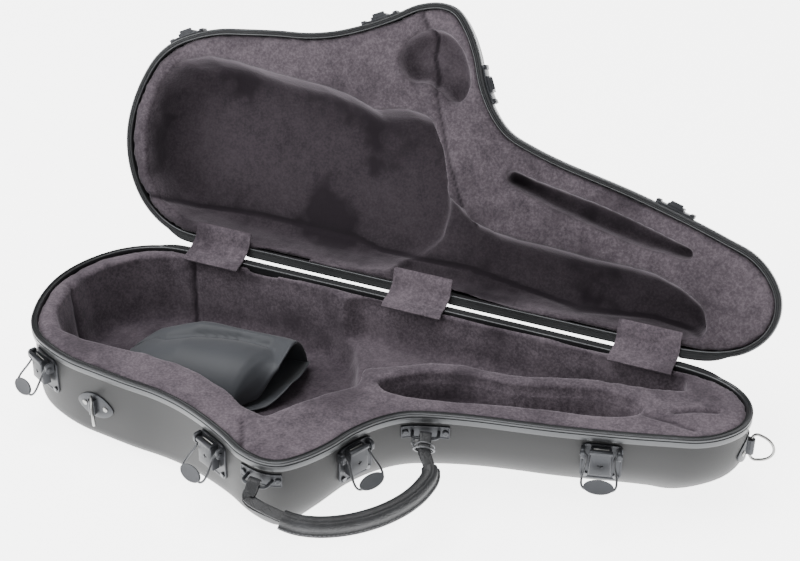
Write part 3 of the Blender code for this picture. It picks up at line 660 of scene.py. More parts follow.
# seams run through these spots, counted from the bell end and from the hinges, in mm
baseSeams = [
    [(94, 6), (104, 18), (112, 34), (118, 48)],
    [(18, 108), (30, 118), (52, 128)],
    [(268, 232), (272, 240), (279, 252), (284, 262)],
    [(628, 92), (606, 90), (584, 88)],
    [(640, 60), (622, 66), (606, 76)],
]
lidSeams = [
    [(22, 43), (75, 35), (140, 39), (246, 38), (276, 31), (370, 34), (436, 26), (488, 21), (555, 28),
     (605, 24)],
    [(304, 229), (325, 175), (341, 135), (371, 77)],
    [(292, 262), (304, 246), (306, 232)],
]


def distanceToLine(points, line):
    best = np.full(len(points), 1e9)
    for a, b in zip(line, line[1:]):
        a, b = np.array(a, float), np.array(b, float)
        run = b - a
        t = np.clip(((points - a) @ run) / (run @ run), 0, 1)
        best = np.minimum(best, np.linalg.norm(points - (a + t[:, None] * run), axis=1))
    return best


def waves(points, size, seed):
    return np.array([noise.noise(Vector(p) * size + Vector((seed, 0, 0))) for p in points])


def makeLining(node, name, body, isLid, seams, cloth):
    piece = copyOfNode(node, name, lidSwing.inverted() if isLid else Matrix.Identity(4))
    applyModifier(piece, "REMESH", mode="VOXEL", voxel_size=liningSizes["voxel"] * mm, adaptivity=0)
    applyModifier(piece, "SMOOTH", factor=0.5, iterations=liningSizes["rounding"])
    points = readPoints(piece)
    normals = readNormals(piece)
    facing = (-normals[:, 2] if isLid else normals[:, 2])
    depth = (points[:, 2] - rimPlane) * (1 if isLid else -1) / mm
    plan = np.stack([points[:, 0] / mm + 335, 140 - points[:, 1] / mm], 1)
    visible = 1 / (1 + np.exp(-(facing + 0.15) * 12))
    if not isLid:
        # the neck's groove is softer than its block
        groove = np.clip((plan[:, 0] - 345) / 30, 0, 1) * np.clip((620 - plan[:, 0]) / 25, 0, 1)
        ridge = np.interp(plan[:, 0], (346, 393, 427, 488, 555, 613), (127, 90, 83, 74, 56, 43))
        groove *= np.clip((plan[:, 1] - ridge + 3) / 5, 0, 1) * (depth < 26) * (facing > -0.5)
        lift = np.clip(depth - 5, 0, None) * groove * liningSizes["grooveFill"]
        points[:, 2] += lift * mm
        depth = depth - lift
    move = liningSizes["wave"] * mm * visible * (waves(points, 22, 3.0) + 0.5 * waves(points, 55, 9.0))
    border = np.clip(facing, 0, 1) ** 2 * np.clip((11 - depth) / 5, 0, 1)
    move += liningSizes["crown"] * mm * border
    for line in seams:
        away = distanceToLine(plan, line)
        groove = np.exp(-(away / liningSizes["seamWidth"]) ** 2)
        swell = np.exp(-((away - 9) / 6) ** 2)
        move += visible * mm * (swell * 0.5 - groove * liningSizes["seamDepth"])
    tree = kdtree.KDTree(len(outline))
    for k, (x, y) in enumerate(outline):
        tree.insert((x, y, 0), k)
    tree.balance()
    near = np.array([tree.find((x, y, 0))[1:] for x, y in points[:, :2]])
    reach = np.clip((17 * mm - near[:, 1]) / (8 * mm), 0, 1) * np.clip((24 - depth) / 8, 0, 1)
    points += normals * move[:, None]
    points[:, :2] += outward[near[:, 0].astype(int)] * (reach * liningSizes["spread"] * mm)[:, None]
    writePoints(piece, points)
    # painted shade along the seam grooves, stored for the velour
    seamShade = np.zeros(len(points))
    for line in seams:
        seamShade = np.maximum(seamShade, np.exp(-(distanceToLine(plan, line) / 1.7) ** 2) * visible)
    # painted shade that grows with depth below the rim; in the lid it sets in shallower and saturates sooner
    floor = np.clip((depth - 9) / 14, 0, 1) if isLid else np.clip((depth - 18) / 34, 0, 1)
    for key, values in (("recess_shade", floor), ("seam", seamShade)):
        piece.data.attributes.new(key, "FLOAT", "POINT").data.foreach_set("value", values)
    if isLid:
        piece.data.transform(lidSwing)
    finishPiece(piece, body, cloth, [node], None)
    print(name, len(piece.data.polygons), "faces")


makeLining("base_lining", "base_padding", "base", False, baseSeams, velour)
makeLining("lid_lining", "lid_padding", "lid", True, lidSeams, velourLid)


# hinge covers: velour tabs that wrap over both rims

coverSizes = {"width": 60, "thick": 1.7}


def makeCover(index):
    low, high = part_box(f"hinge_cover_{index}")
    middle = (low.x + high.x) / 2
    up = Vector((0, -math.cos(openAngle), math.sin(openAngle)))
    proud = Vector((0, -math.sin(openAngle), -math.cos(openAngle)))
    line = [Vector((0, -25, -0.6)), Vector((0, -21, 1.0)), Vector((0, -16, 1.6)), Vector((0, -9, 1.7))]
    lidSide = [up * 9 + proud * 1.7, up * 16 + proud * 1.6, up * 21 + proud * 1.0, up * 25 - proud * 0.6]
    bulge = Vector((0, 1, 0.35)).normalized()
    bridge = [line[-1].lerp(lidSide[0], t) + bulge * t * (1 - t) * 8 for t in (0.25, 0.5, 0.75)]
    spots = [hinge + p * mm for p in line + bridge + lidSide]
    length = sum((b - a).length for a, b in zip(spots, spots[1:]))
    deselectAll()
    bpy.ops.mesh.primitive_grid_add(x_subdivisions=30, y_subdivisions=40, size=1)
    piece = bpy.context.object
    piece.name = f"hinge_cover_cloth_{index}"
    run = np.concatenate([[0], np.cumsum([(b - a).length for a, b in zip(spots, spots[1:])])]) / length
    points = readPoints(piece)
    u = points[:, 0] + 0.5
    v = points[:, 1] + 0.5
    ys = np.interp(v, run, [p.y for p in spots])
    zs = np.interp(v, run, [p.z for p in spots])
    soft = np.exp(-((u - 0.5) / 0.46) ** 8)
    ys = ys - 0.3 * mm * (1 - soft)
    xs = middle + (u - 0.5) * coverSizes["width"] * mm
    xs += 0.5 * mm * np.sin(v * 9 + index) * (np.abs(u - 0.5) * 2) ** 3
    writePoints(piece, np.stack([xs, ys, zs], 1))
    applyModifier(piece, "SMOOTH", factor=0.5, iterations=3)
    facing = np.mean([p.normal.y for p in piece.data.polygons])
    if facing > 0:
        piece.data.flip_normals()
    piece.data.materials.append(velour)
    piece.data.materials.append(coverBacking)
    applyModifier(piece, "SOLIDIFY", thickness=coverSizes["thick"] * mm, offset=-1, material_offset_rim=0)
    shadeSmooth(piece, 50)
    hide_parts(f"hinge_cover_{index}")
    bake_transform(piece)


for index in (1, 2, 3):
    makeCover(index)
print("hinge covers done")


# latches: modelled once at the rim face, x along the wall, y out of it, z up

latchSizes = {"half": 18, "top": -13, "foot": -50, "corner": 6, "pivot": (0, 4, -20), "arm": 30, "rest": 40}


def latchFrame(index):
    joint = joints[f"latch_{index}_lift"]
    side = Vector(joint["axis"]).normalized()
    out = Vector((0, 0, 1)).cross(side)
    _, proud, low = latchSizes["pivot"]
    place = Vector(joint["pos_m"]) - out * proud * mm - Vector((0, 0, low * mm))
    return Matrix(((side.x, out.x, 0, place.x), (side.y, out.y, 0, place.y), (0, 0, 1, place.z),
                   (0, 0, 0, 1)))


def cutColumns(item, low, high, count):
    for k in range(1, count):
        enterEdit(item)
        bpy.ops.mesh.select_all(action="SELECT")
        x = (low + (high - low) * k / count) * mm
        bpy.ops.mesh.bisect(plane_co=(x, 0, 0), plane_no=(1, 0, 0))
        leaveEdit()


def modelLatchPlate():
    s = latchSizes
    plate = addBox("latch_plate_model", (-s["half"], -2.5, s["foot"]), (s["half"], -0.5, s["top"]))
    bevelEdges(plate, lambda m, d: abs(d.y) > 0.9, s["corner"] * mm, 6)
    pickFaces(plate, lambda c, n: n.y > 0.9)
    bpy.ops.mesh.inset(thickness=1.6 * mm)
    bpy.ops.mesh.inset(thickness=0.5 * mm, depth=-0.5 * mm)
    leaveEdit()
    bevelEdges(plate, lambda m, d: m.y > -0.6 * mm and abs(d.y) < 0.1, 0.4 * mm, 2, 1)
    cutColumns(plate, -s["half"], s["half"], 10)
    return plate


def modelDome(name, radius, tall, x, y, z):
    deselectAll()
    bpy.ops.mesh.primitive_cylinder_add(vertices=28, radius=radius * mm, depth=tall * mm,
                                        location=(0, 0, 0), rotation=(math.pi / 2, 0, 0))
    bpy.ops.object.transform_apply(location=True, rotation=True, scale=True)
    dome = bpy.context.object
    dome.name = name
    pickFaces(dome, lambda c, n: n.y > 0.9)
    bpy.ops.mesh.inset(thickness=radius * 0.34 * mm)
    bpy.ops.transform.translate(value=(0, tall * 0.35 * mm, 0))
    bpy.ops.mesh.inset(thickness=radius * 0.18 * mm, depth=-0.12 * mm)
    leaveEdit()
    bevelEdges(dome, lambda m, d: m.y > tall * 0.4 * mm and abs(d.y) < 0.9, tall * 0.16 * mm, 2)
    dome.data.transform(Matrix.Translation(Vector((x, y, z)) * mm))
    return dome


def modelEars():
    ears = []
    for side in (-1, 1):
        low, high = sorted((14.1 * side, 17.3 * side))
        ear = addBox("latch_ear_model", (low, -0.8, -25), (high, 7.2, -15))
        bevelEdges(ear, lambda m, d: abs(d.x) > 0.9 and m.y > 5 * mm, 3.4 * mm, 5)
        bevelEdges(ear, lambda m, d: m.y > 0 and abs(d.x) < 0.9, 0.4 * mm, 2)
        stub = addRod("latch_stub_model", 2.1, (high + 0.9, 4, -20), (low - 0.9, 4, -20),
                      (0, math.pi / 2, 0), 24)
        bevelEdges(stub, lambda m, d: abs(d.x) < 0.2, 0.35 * mm, 2)
        ears += [ear, stub]
    return joinPieces(*ears)


def modelHousing():
    body = addBox("latch_housing_model", (-9.8, 0.2, -40), (9.8, 8, -15))
    bevelEdges(body, lambda m, d: m.y > 7 * mm, 1.3 * mm, 3, 1)
    points = readPoints(body)
    points[:, 0] *= np.interp(points[:, 2] / mm, (-40, -15), (1.0, 0.9))
    writePoints(body, points)
    pickFaces(body, lambda c, n: n.z > 0.9)
    bpy.ops.mesh.inset(thickness=1.4 * mm)
    bpy.ops.mesh.extrude_region_move(TRANSFORM_OT_translate={"value": (0, 0, -9 * mm)})
    leaveEdit()
    # a folded lip along the top, standing forward of the box
    lip = addBox("latch_lip_model", (-9.9, 5.2, -17.3), (9.9, 9.4, -13.8))
    bevelEdges(lip, lambda m, d: abs(d.x) > 0.9, 1.1 * mm, 4, 1)
    bevelEdges(lip, lambda m, d: abs(m.x) > 9.8 * mm, 0.5 * mm, 2)
    for low, high in (((-2.4, 7.2, -29.6), (2.4, 10, -28.6)), ((-0.5, 7.2, -31.2), (0.5, 10, -27.0))):
        cutOut(body, addBox("key_cutter", low, high))
    tongue = addBox("latch_tongue_model", (-6.8, 2.6, -23.6), (6.8, 4.0, -14.4))
    bevelEdges(tongue, lambda m, d: m.z > -15 * mm, 0.5 * mm, 2)
    return joinPieces(body, lip), tongue


def modelBail():
    half = [(-17.0, 0, 0), (-15.2, 0, 0), (-13.4, 0, -0.4), (-12.4, 0, -1.6), (-12.0, 0, -4),
            (-12.5, 0, -10), (-14.1, 0, -17), (-15.0, 0, -23), (-14.4, 0, -27), (-12.2, 0, -29.5),
            (-9.6, 0, -30), (-4, 0, -30)]
    path = half + [(-x, y, z) for x, y, z in reversed(half)]
    return addWire("latch_bail_model", path, 1.05)


def modelPaddle():
    deselectAll()
    bpy.ops.mesh.primitive_cylinder_add(vertices=56, radius=13 * mm, depth=2.2 * mm,
                                        rotation=(math.pi / 2, 0, 0))
    bpy.ops.object.transform_apply(location=True, rotation=True, scale=True)
    pad = bpy.context.object
    pad.name = "latch_paddle_model"
    enterEdit(pad)
    bpy.ops.mesh.select_all(action="SELECT")
    bpy.ops.transform.resize(value=(1, 1, 0.49), center_override=(0, 0, 0))
    bpy.ops.transform.translate(value=(0, 2.9 * mm, 2.4 * mm))
    leaveEdit()
    pickFaces(pad, lambda c, n: abs(n.y) > 0.9)
    bpy.ops.mesh.inset(thickness=1.3 * mm)
    bpy.ops.mesh.inset(thickness=1.6 * mm)
    leaveEdit()
    points = readPoints(pad)
    fromMiddle = (points[:, 0] / (13 * mm)) ** 2 + ((points[:, 2] - 2.4 * mm) / (6.4 * mm)) ** 2
    points[:, 1] -= 0.45 * mm * (1 - np.clip(fromMiddle, 0, 1))
    writePoints(pad, points)
    bevelEdges(pad, lambda m, d: math.hypot(m.x / 13, (m.z - 0.0024) / 6.37) / mm > 0.96 and abs(d.y) < 0.5,
               0.5 * mm, 3, 1)
    roll = addRod("latch_roll_model", 2.7, (-7.6, 0, 0), (7.6, 0, 0), (0, math.pi / 2, 0), 28)
    bevelEdges(roll, lambda m, d: abs(d.x) < 0.2, 0.5 * mm, 2)
    return joinPieces(pad, roll)


plateModel = modelLatchPlate()
earModel = modelEars()
housingModel, tongueModel = modelHousing()
bailModel = modelBail()
paddleModel = modelPaddle()
latchRivet = modelDome("latch_rivet_model", 2.3, 1.2, 0, 0, 0)

for index in (1, 2, 3, 4):
    place = latchFrame(index)
    plate = copyOf(plateModel, f"latch_plate_{index}", Matrix.Identity(4))
    bendToWall(plate, place)
    ears = copyOf(earModel, f"latch_ears_{index}", place)
    plate = joinPieces(plate, ears)
    finishPiece(plate, "base", [anthracite, wornEdge], [f"latch_{index}_plate"])
    for k, (x, z) in enumerate(((-13, -45.5), (13, -45.5))):
        rivet = copyOf(latchRivet, f"latch_rivet_{index}{'ab'[k]}",
                       Matrix.Translation((x * mm, 0.0, z * mm)))
        bendToWall(rivet, place)
        finishPiece(rivet, "base", wireSteel)
    housing = copyOf(housingModel, f"latch_lock_box_{index}", place)
    finishPiece(housing, "base", [anthracite, wornEdge], [f"latch_{index}_housing"])
    tongue = copyOf(tongueModel, f"latch_spring_leaf_{index}", place)
    finishPiece(tongue, "base", ringSteel)
    hang = Matrix.Rotation(math.radians(latchSizes["rest"]), 4, "X")
    arm = place @ Matrix.Translation(Vector(latchSizes["pivot"]) * mm) @ hang
    bail = copyOf(bailModel, f"latch_wire_{index}", arm)
    finishPiece(bail, f"latch_{index}_lever", wireSteel, [f"latch_{index}_bail"], 60)
    foot = arm @ Matrix.Translation((0, 0, -latchSizes["arm"] * mm))
    paddle = copyOf(paddleModel, f"latch_tab_{index}", foot)
    finishPiece(paddle, f"latch_{index}_tab", [paddlePaint, wornEdge],
                [f"latch_{index}_paddle"])
for spare in (plateModel, earModel, housingModel, tongueModel, bailModel, paddleModel, latchRivet):
    bpy.data.objects.remove(spare)
print("latches done")


# catches on the lid's rim

def modelCatch():
    plate = addBox("catch_model", (-19, 0.3, 2), (19, 2.0, 16))
    bevelEdges(plate, lambda m, d: abs(d.y) > 0.9, 3 * mm, 4)
    bevelEdges(plate, lambda m, d: m.y > 1.9 * mm, 0.4 * mm, 2, 1)
    cutColumns(plate, -19, 19, 8)
    lumps = []
    for low, high in (((-19, 1.0, 4), (-14.5, 3.8, 13)), ((14.5, 1.0, 4), (19, 3.8, 13)),
                      ((-8, 1.0, 3.4), (8, 4.8, 14.4))):
        lump = addBox("catch_lump_model", low, high)
        bevelEdges(lump, lambda m, d: m.y > 3 * mm, 0.9 * mm, 3, 1)
        lumps.append(lump)
    hook = addBox("catch_hook_model", (-6, 3.4, 3.8), (6, 7.4, 6.4))
    bevelEdges(hook, lambda m, d: m.y > 7 * mm, 0.8 * mm, 3, 1)
    return plate, joinPieces(*lumps, hook)


catchPlate, catchLumps = modelCatch()
for index in (1, 2, 3, 4):
    place = latchFrame(index)
    plate = copyOf(catchPlate, f"catch_plate_{index}", Matrix.Identity(4))
    bendToWall(plate, place)
    lumps = copyOf(catchLumps, f"catch_lumps_{index}", Matrix.Identity(4))
    bendToWall(lumps, place)
    plate = joinPieces(plate, lumps)
    plate.data.transform(lidSwing)
    finishPiece(plate, "lid", [anthracite, wornEdge], [f"catch_{index}"])
bpy.data.objects.remove(catchPlate)
bpy.data.objects.remove(catchLumps)
print("catches done")

# hinge leaves and pins keep their shapes
for name in nodes:
    if name.startswith("hinge_") and not name.startswith("hinge_cover"):
        nodes[name].data.materials.clear()
        nodes[name].data.materials.append(anthracite)

# lines and sections for the soft pieces

def openCurve(points, steps):
    points = [Vector(p) for p in points]
    points = [2 * points[0] - points[1]] + points + [2 * points[-1] - points[-2]]
    curve = closedCurve(points, steps)
    return [Vector(p) for p in curve[steps:steps * (len(points) - 2) + 1]]


def sweep(name, path, acrosses, aboves, shape, rounds=40):
    # closed piece whose section follows a line; shape(share of length, angle) gives across and above
    points = []
    for k, spot in enumerate(path):
        for j in range(rounds):
            across, above = shape(k / (len(path) - 1), math.tau * j / rounds)
            points.append(spot + acrosses[k] * across + aboves[k] * above)
    faces = [tuple(range(rounds)), tuple(range(len(points) - rounds, len(points)))]
    for k in range(len(path) - 1):
        for j in range(rounds):
            n = (j + 1) % rounds
            faces.append((k * rounds + j, k * rounds + n, (k + 1) * rounds + n, (k + 1) * rounds + j))
    mesh = bpy.data.meshes.new(name)
    mesh.from_pydata(points, [], faces)
    piece = bpy.data.objects.new(name, mesh)
    bpy.context.scene.collection.objects.link(piece)
    enterEdit(piece)
    bpy.ops.mesh.select_all(action="SELECT")
    bpy.ops.mesh.normals_make_consistent(inside=False)
    leaveEdit()
    return piece


def oval(across, above, angle, power=0.6):
    c, s = math.cos(angle), math.sin(angle)
    return (across * math.copysign(abs(c) ** power, c), above * math.copysign(abs(s) ** power, s))


# handle: two doubled straps looped round the bars, and a sewn grip sleeve over them

handleSizes = {"places": [(-28, -137), (77, -25)], "level": -20, "stand": 8.2, "reach": 58, "drop": 20,
               "strapHalf": 5.3, "strapThick": 2.0, "sleeve": (0.235, 0.80), "gripHalf": 7.5, "seam": 3.4,
               "ringSpot": 0.885, "stitches": 46}


def gripLine():
    s = handleSizes
    places = [wallFrame(x, y, s["level"] * mm) for x, y in s["places"]]
    ends = [p.translation + p.col[1].xyz * s["stand"] * mm for p in places]
    bars = [p.col[0].xyz.normalized() for p in places]
    chord = ends[1] - ends[0]
    level = Vector((chord.y, -chord.x, 0)).normalized()
    level = -level if level.y > 0 else level
    drop = math.radians(s["drop"])
    out = level * math.cos(drop) - Vector((0, 0, math.sin(drop)))
    stops = []
    for k in range(9):
        turn = 0.5 + (math.pi - 1) * k / 8
        rise = out * s["reach"] * mm * math.sin(turn) ** 0.75
        stops.append(ends[0] + chord * ((1 - math.cos(turn)) / 2) + rise)
    leads = []
    for end, bar, toward in zip(ends, bars, (stops[0], stops[-1])):
        heading = ((toward - end) - bar * (toward - end).dot(bar)).normalized()
        leads.append([end, end + heading * 6 * mm, end + heading * 12 * mm])
    line = openCurve(leads[0] + stops + leads[1][::-1], 8)
    plane = chord.cross(out).normalized()
    plane = -plane if plane.z < 0 else plane
    last = len(line) - 1
    tangents = [(line[min(k + 1, last)] - line[max(k - 1, 0)]).normalized() for k in range(last + 1)]
    widths = [t.cross(plane).normalized() for t in tangents]
    if widths[len(widths) // 2].dot(out) < 0:
        widths = [-w for w in widths]
    normals = [w.cross(t).normalized() for w, t in zip(widths, tangents)]
    normals = [n if n.z > 0 else -n for n in normals]
    return line, tangents, widths, normals


grip, gripAhead, gripWide, gripUp = gripLine()


def makeStrap(name, first, last):
    # out along the upper layer, round the bar and back along the lower one
    order = list(range(first, last + 1) if first < last else range(first, last - 1, -1))
    bar = grip[first]
    away = (grip[order[3]] - bar).normalized()
    up = gripUp[first] - away * gripUp[first].dot(away)
    up.normalize()
    wide = away.cross(up).normalized()
    upper, lower, acrosses = [], [], []
    for k in order[4:]:
        far = (grip[k] - bar).length / mm
        gap = np.interp(far, (0, 7, 17, 30), (5.2, 4.2, 1.9, 1.25)) * mm
        lift = up.lerp(gripUp[k], min(1.0, far / 16)).normalized()
        upper.append(grip[k] + lift * gap)
        lower.append(grip[k] - lift * gap)
        side = gripWide[k] if gripWide[k].dot(wide) > 0 else -gripWide[k]
        acrosses.append(wide.lerp(side, min(1.0, far / 16)).normalized())
    loop = []
    for k in range(13):
        a = math.pi / 2 + math.pi * k / 12
        loop.append(bar + (away * math.cos(a) + up * math.sin(a)) * 5.2 * mm)
    path = upper[::-1] + loop + lower
    wides = acrosses[::-1] + [wide] * len(loop) + acrosses
    aboves = []
    for k in range(len(path)):
        ahead = (path[min(k + 1, len(path) - 1)] - path[max(k - 1, 0)]).normalized()
        wides[k] = (wides[k] - ahead * wides[k].dot(ahead)).normalized()
        aboves.append(wides[k].cross(ahead).normalized())
    half = handleSizes["strapHalf"] * mm
    thick = handleSizes["strapThick"] / 2 * mm
    return sweep(name, path, wides, aboves,
                 lambda t, a: oval(half * (1 - 0.12 * abs(2 * t - 1)), thick, a, 0.45), 28)


def makeHandle():
    s = handleSizes
    count = len(grip) - 1
    start, stop = (round(f * count) for f in s["sleeve"])
    straps = [makeStrap("strap_bell_end", 0, start + 3), makeStrap("strap_neck_end", count, stop - 3)]
    strap = joinPieces(*straps)
    strap.name = "handle_straps"
    finishPiece(strap, "handle", handleLeather, ["handle_core"], 55)

    size = s["gripHalf"] * mm
    seamAngle = math.radians(-28)
    span = range(start, stop + 1)

    def gripShape(t, angle):
        ends = 1 - 0.07 * (2 * t - 1) ** 4
        away = math.atan2(math.sin(angle - seamAngle), math.cos(angle - seamAngle))
        flange = s["seam"] * mm * math.exp(-(away / 0.30) ** 4)
        crease = 0.55 * mm * math.exp(-((angle - math.radians(78)) / 0.10) ** 2)
        radius = size * ends + flange - crease
        return radius * math.cos(angle), radius * math.sin(angle) * 0.92

    sleeve = sweep("handle_grip_sleeve", [grip[k] for k in span], [gripWide[k] for k in span],
                   [gripUp[k] for k in span], gripShape, 72)
    bevelEdges(sleeve, lambda m, d: min((m - grip[start]).dot(gripAhead[start]),
                                        (grip[stop] - m).dot(gripAhead[stop])) < 0.02 * mm, 0.6 * mm, 3)
    finishPiece(sleeve, "handle", handleLeather, ["handle_sleeve"], 50)

    stitches = bmesh.new()
    for k in range(s["stitches"]):
        f = start + (stop - start) * (k + 0.5) / s["stitches"]
        i = int(f)
        spot = grip[i].lerp(grip[i + 1], f - i)
        reach = size + 1.7 * mm
        side = gripWide[i] * math.cos(seamAngle) + gripUp[i] * math.sin(seamAngle) * 0.92
        lift = (gripUp[i] * math.cos(seamAngle) - gripWide[i] * math.sin(seamAngle)).normalized()
        place = spot + side * reach + lift * 2.25 * mm
        turn = gripAhead[i].to_track_quat("X", "Z").to_matrix().to_4x4()
        matrix = Matrix.Translation(place) @ turn @ Matrix.Diagonal((1.25 * mm, 0.42 * mm, 0.42 * mm, 1))
        bmesh.ops.create_uvsphere(stitches, u_segments=10, v_segments=6, radius=1, matrix=matrix)
    mesh = bpy.data.meshes.new("handle_stitches")
    stitches.to_mesh(mesh)
    stitches.free()
    thread = bpy.data.objects.new("handle_stitches", mesh)
    bpy.context.scene.collection.objects.link(thread)
    finishPiece(thread, "handle", threadWax, (), None)


def makeHandleRing():
    count = len(grip) - 1
    middle = round(handleSizes["ringSpot"] * count)
    loops = []
    for k, (shift, tilt, wide, high) in enumerate(((-1.6, 0.16, 9.0, 6.4), (1.4, -0.14, 8.6, 6.2))):
        centre = grip[middle] + gripAhead[middle] * shift * mm
        ahead = (gripAhead[middle] + gripUp[middle] * tilt).normalized()
        side = gripWide[middle]
        up = side.cross(ahead).normalized()
        ring = [(centre + side * math.cos(a) * wide * mm + up * math.sin(a) * high * mm) / mm
                for a in [math.tau * j / 14 for j in range(14)]]
        loops.append(addWire(f"ring_loop_{k}", ring, 0.8, closed=True))
        tail = (centre - side * wide * mm) / mm
        knob = tail - side * 1.5 - gripAhead[middle] * (-5.0 if gripAhead[middle].x < 0 else 5.0)
        loops.append(addWire(f"ring_tail_{k}", [tail, tail.lerp(knob, 0.5), knob], 0.7))
        deselectAll()
        bpy.ops.mesh.primitive_uv_sphere_add(segments=20, ring_count=12, radius=1.5 * mm,
                                             location=knob * mm)
        bpy.ops.object.transform_apply(location=True, rotation=True, scale=True)
        loops.append(bpy.context.object)
    ring = joinPieces(*loops)
    ring.name = "handle_split_ring"
    finishPiece(ring, "handle", wireSteel, ["handle_ring"], 60)


makeHandle()
makeHandleRing()

# handle brackets: riveted plates with a bar standing off them

bracketSizes = {"half": 21, "tall": 6.5, "bar": 1.5, "rivet": 17.2}


def modelBracket():
    s = bracketSizes
    plate = addBox("bracket_model", (-s["half"], -2.5, -s["tall"]), (s["half"], -1.0, s["tall"]))
    bevelEdges(plate, lambda m, d: abs(d.y) > 0.9, 1.2 * mm, 3, 1)
    pickFaces(plate, lambda c, n: n.y > 0.9)
    bpy.ops.mesh.inset(thickness=1.0 * mm)
    bpy.ops.mesh.inset(thickness=0.4 * mm, depth=-0.4 * mm)
    leaveEdit()
    bevelEdges(plate, lambda m, d: m.y > -1.05 * mm and abs(d.y) < 0.1, 0.3 * mm, 2, 1)
    cutColumns(plate, -s["half"], s["half"], 14)
    bar = addWire("bar_model", [(-11.5, -6, 0), (-11.4, 1, 0), (-10.6, 6.4, 0), (-7.5, 8.2, 0), (0, 8.2, 0),
                                (7.5, 8.2, 0), (10.6, 6.4, 0), (11.4, 1, 0), (11.5, -6, 0)], s["bar"])
    return plate, bar


bracketPlate, bracketBar = modelBracket()
plateRivet = modelDome("plate_rivet_model", 2.7, 1.3, 0, 0, 0)
for index, (x, y) in enumerate(handleSizes["places"], 1):
    place = wallFrame(x, y, handleSizes["level"] * mm)
    plate = copyOf(bracketPlate, f"handle_bracket_plate_{index}", Matrix.Identity(4))
    bendToWall(plate, place)
    plate = joinPieces(plate, copyOf(bracketBar, f"handle_bar_{index}", place))
    finishPiece(plate, "base", [anthracite, wornEdge], [f"handle_bracket_{index}"])
    for letter, side in (("a", -1), ("b", 1)):
        rivet = copyOf(plateRivet, f"bracket_rivet_{index}{letter}",
                       Matrix.Translation((side * bracketSizes["rivet"] * mm, -0.6 * mm, 0)))
        bendToWall(rivet, place)
        finishPiece(rivet, "base", [anthracite, wornEdge], [f"handle_rivet_{index}{letter}"])
for spare in (bracketPlate, bracketBar):
    bpy.data.objects.remove(spare)
print("handle done")

# strap rings: pointed oval plates with a barrel, and the D rings that swing in them

ringSizes = {"places": [(-226, -80), (333, 84)], "levels": [-42, -33], "headings": [42, 0], "half": 20,
             "tall": 12, "ringTall": 13.5, "reach": 20, "wire": 1.3}


def modelLeaf():
    s = ringSizes
    deselectAll()
    bpy.ops.mesh.primitive_cylinder_add(vertices=56, radius=s["half"] * mm, depth=1.5 * mm,
                                        location=(0, -1.75 * mm, 0), rotation=(math.pi / 2, 0, 0))
    bpy.ops.object.transform_apply(location=True, rotation=True, scale=True)
    leaf = bpy.context.object
    points = readPoints(leaf)
    share = np.clip(1 - (points[:, 0] / (s["half"] * mm)) ** 2, 0, 1)
    points[:, 2] *= s["tall"] / s["half"] * share ** 0.22
    points[:, 2] += np.sign(points[:, 2]) * 0.8 * mm
    writePoints(leaf, points)
    pickFaces(leaf, lambda c, n: n.y > 0.9)
    bpy.ops.mesh.inset(thickness=0.8 * mm, depth=0.35 * mm)
    leaveEdit()
    cutColumns(leaf, -s["half"], s["half"], 10)
    return leaf


leafModel = modelLeaf()
for index in (1, 2):
    place = wallFrame(*ringSizes["places"][index - 1], ringSizes["levels"][index - 1] * mm)
    leaf = copyOf(leafModel, f"strap_plate_{index}", Matrix.Identity(4))
    bendToWall(leaf, place)
    pivot = place.copy()
    pivot.translation = Vector(joints[f"strap_ring_{index}_swing"]["pos_m"])
    pivot.translation.z = place.translation.z
    barrel = addRod("strap_barrel_model", 3.3, (0, 0, -8), (0, 0, 8), (0, 0, 0), 32)
    bevelEdges(barrel, lambda m, d: abs(d.z) < 0.2, 0.5 * mm, 3, 1)
    barrel.data.transform(pivot)
    web = addBox("strap_web_model", (-3.2, -4.6, -7.6), (3.2, -0.4, 7.6))
    bevelEdges(web, lambda m, d: abs(d.x) > 0.9, 0.5 * mm, 2)
    web.data.transform(pivot)
    leaf = joinPieces(leaf, barrel, web)
    finishPiece(leaf, "base", [anthracite, wornEdge], [f"ring_{index}_plate"])
    for letter, side in (("a", -1), ("b", 1)):
        rivet = copyOf(plateRivet, f"strap_rivet_{index}{letter}",
                       Matrix.Translation((side * 11.5 * mm, -0.5 * mm, 0)))
        bendToWall(rivet, place)
        finishPiece(rivet, "base", ringSteel, [f"ring_rivet_{index}{letter}"])
    s = ringSizes
    path = [(0, 0, -8), (0, 0, 0), (0, 0, 8), (0, 0.8, 11)]
    for k in range(11):
        a = math.pi / 2 - math.pi * k / 10
        path.append((0, 3.6 + (s["reach"] - 3.6) * max(math.cos(a), 0.0), s["ringTall"] * math.sin(a)))
    path.append((0, 0.8, -11))
    loop = addWire(f"strap_ring_wire_{index}", path, s["wire"], closed=True)
    loop.data.transform(pivot @ Matrix.Rotation(math.radians(s["headings"][index - 1]), 4, "Z"))
    finishPiece(loop, f"strap_ring_{index}", ringSteel, [f"ring_{index}"], 60)
for spare in (leafModel, plateRivet):
    bpy.data.objects.remove(spare)
print("strap rings done")

# pouch: a soft bag with two humps and an open mouth towards the neck end

pouchSizes = {"floor": 20, "front": 40, "back": 44, "valley": 0.70, "mouth": 12, "wall": 1.6, "corner": 34,
              "crease": ([0.0, 0.1, 0.2, 0.35, 0.65, 0.85, 0.95, 1.0],
                         [0.5, 0.44, 0.26, 0.28, 0.52, 0.46, 0.16, -0.1])}


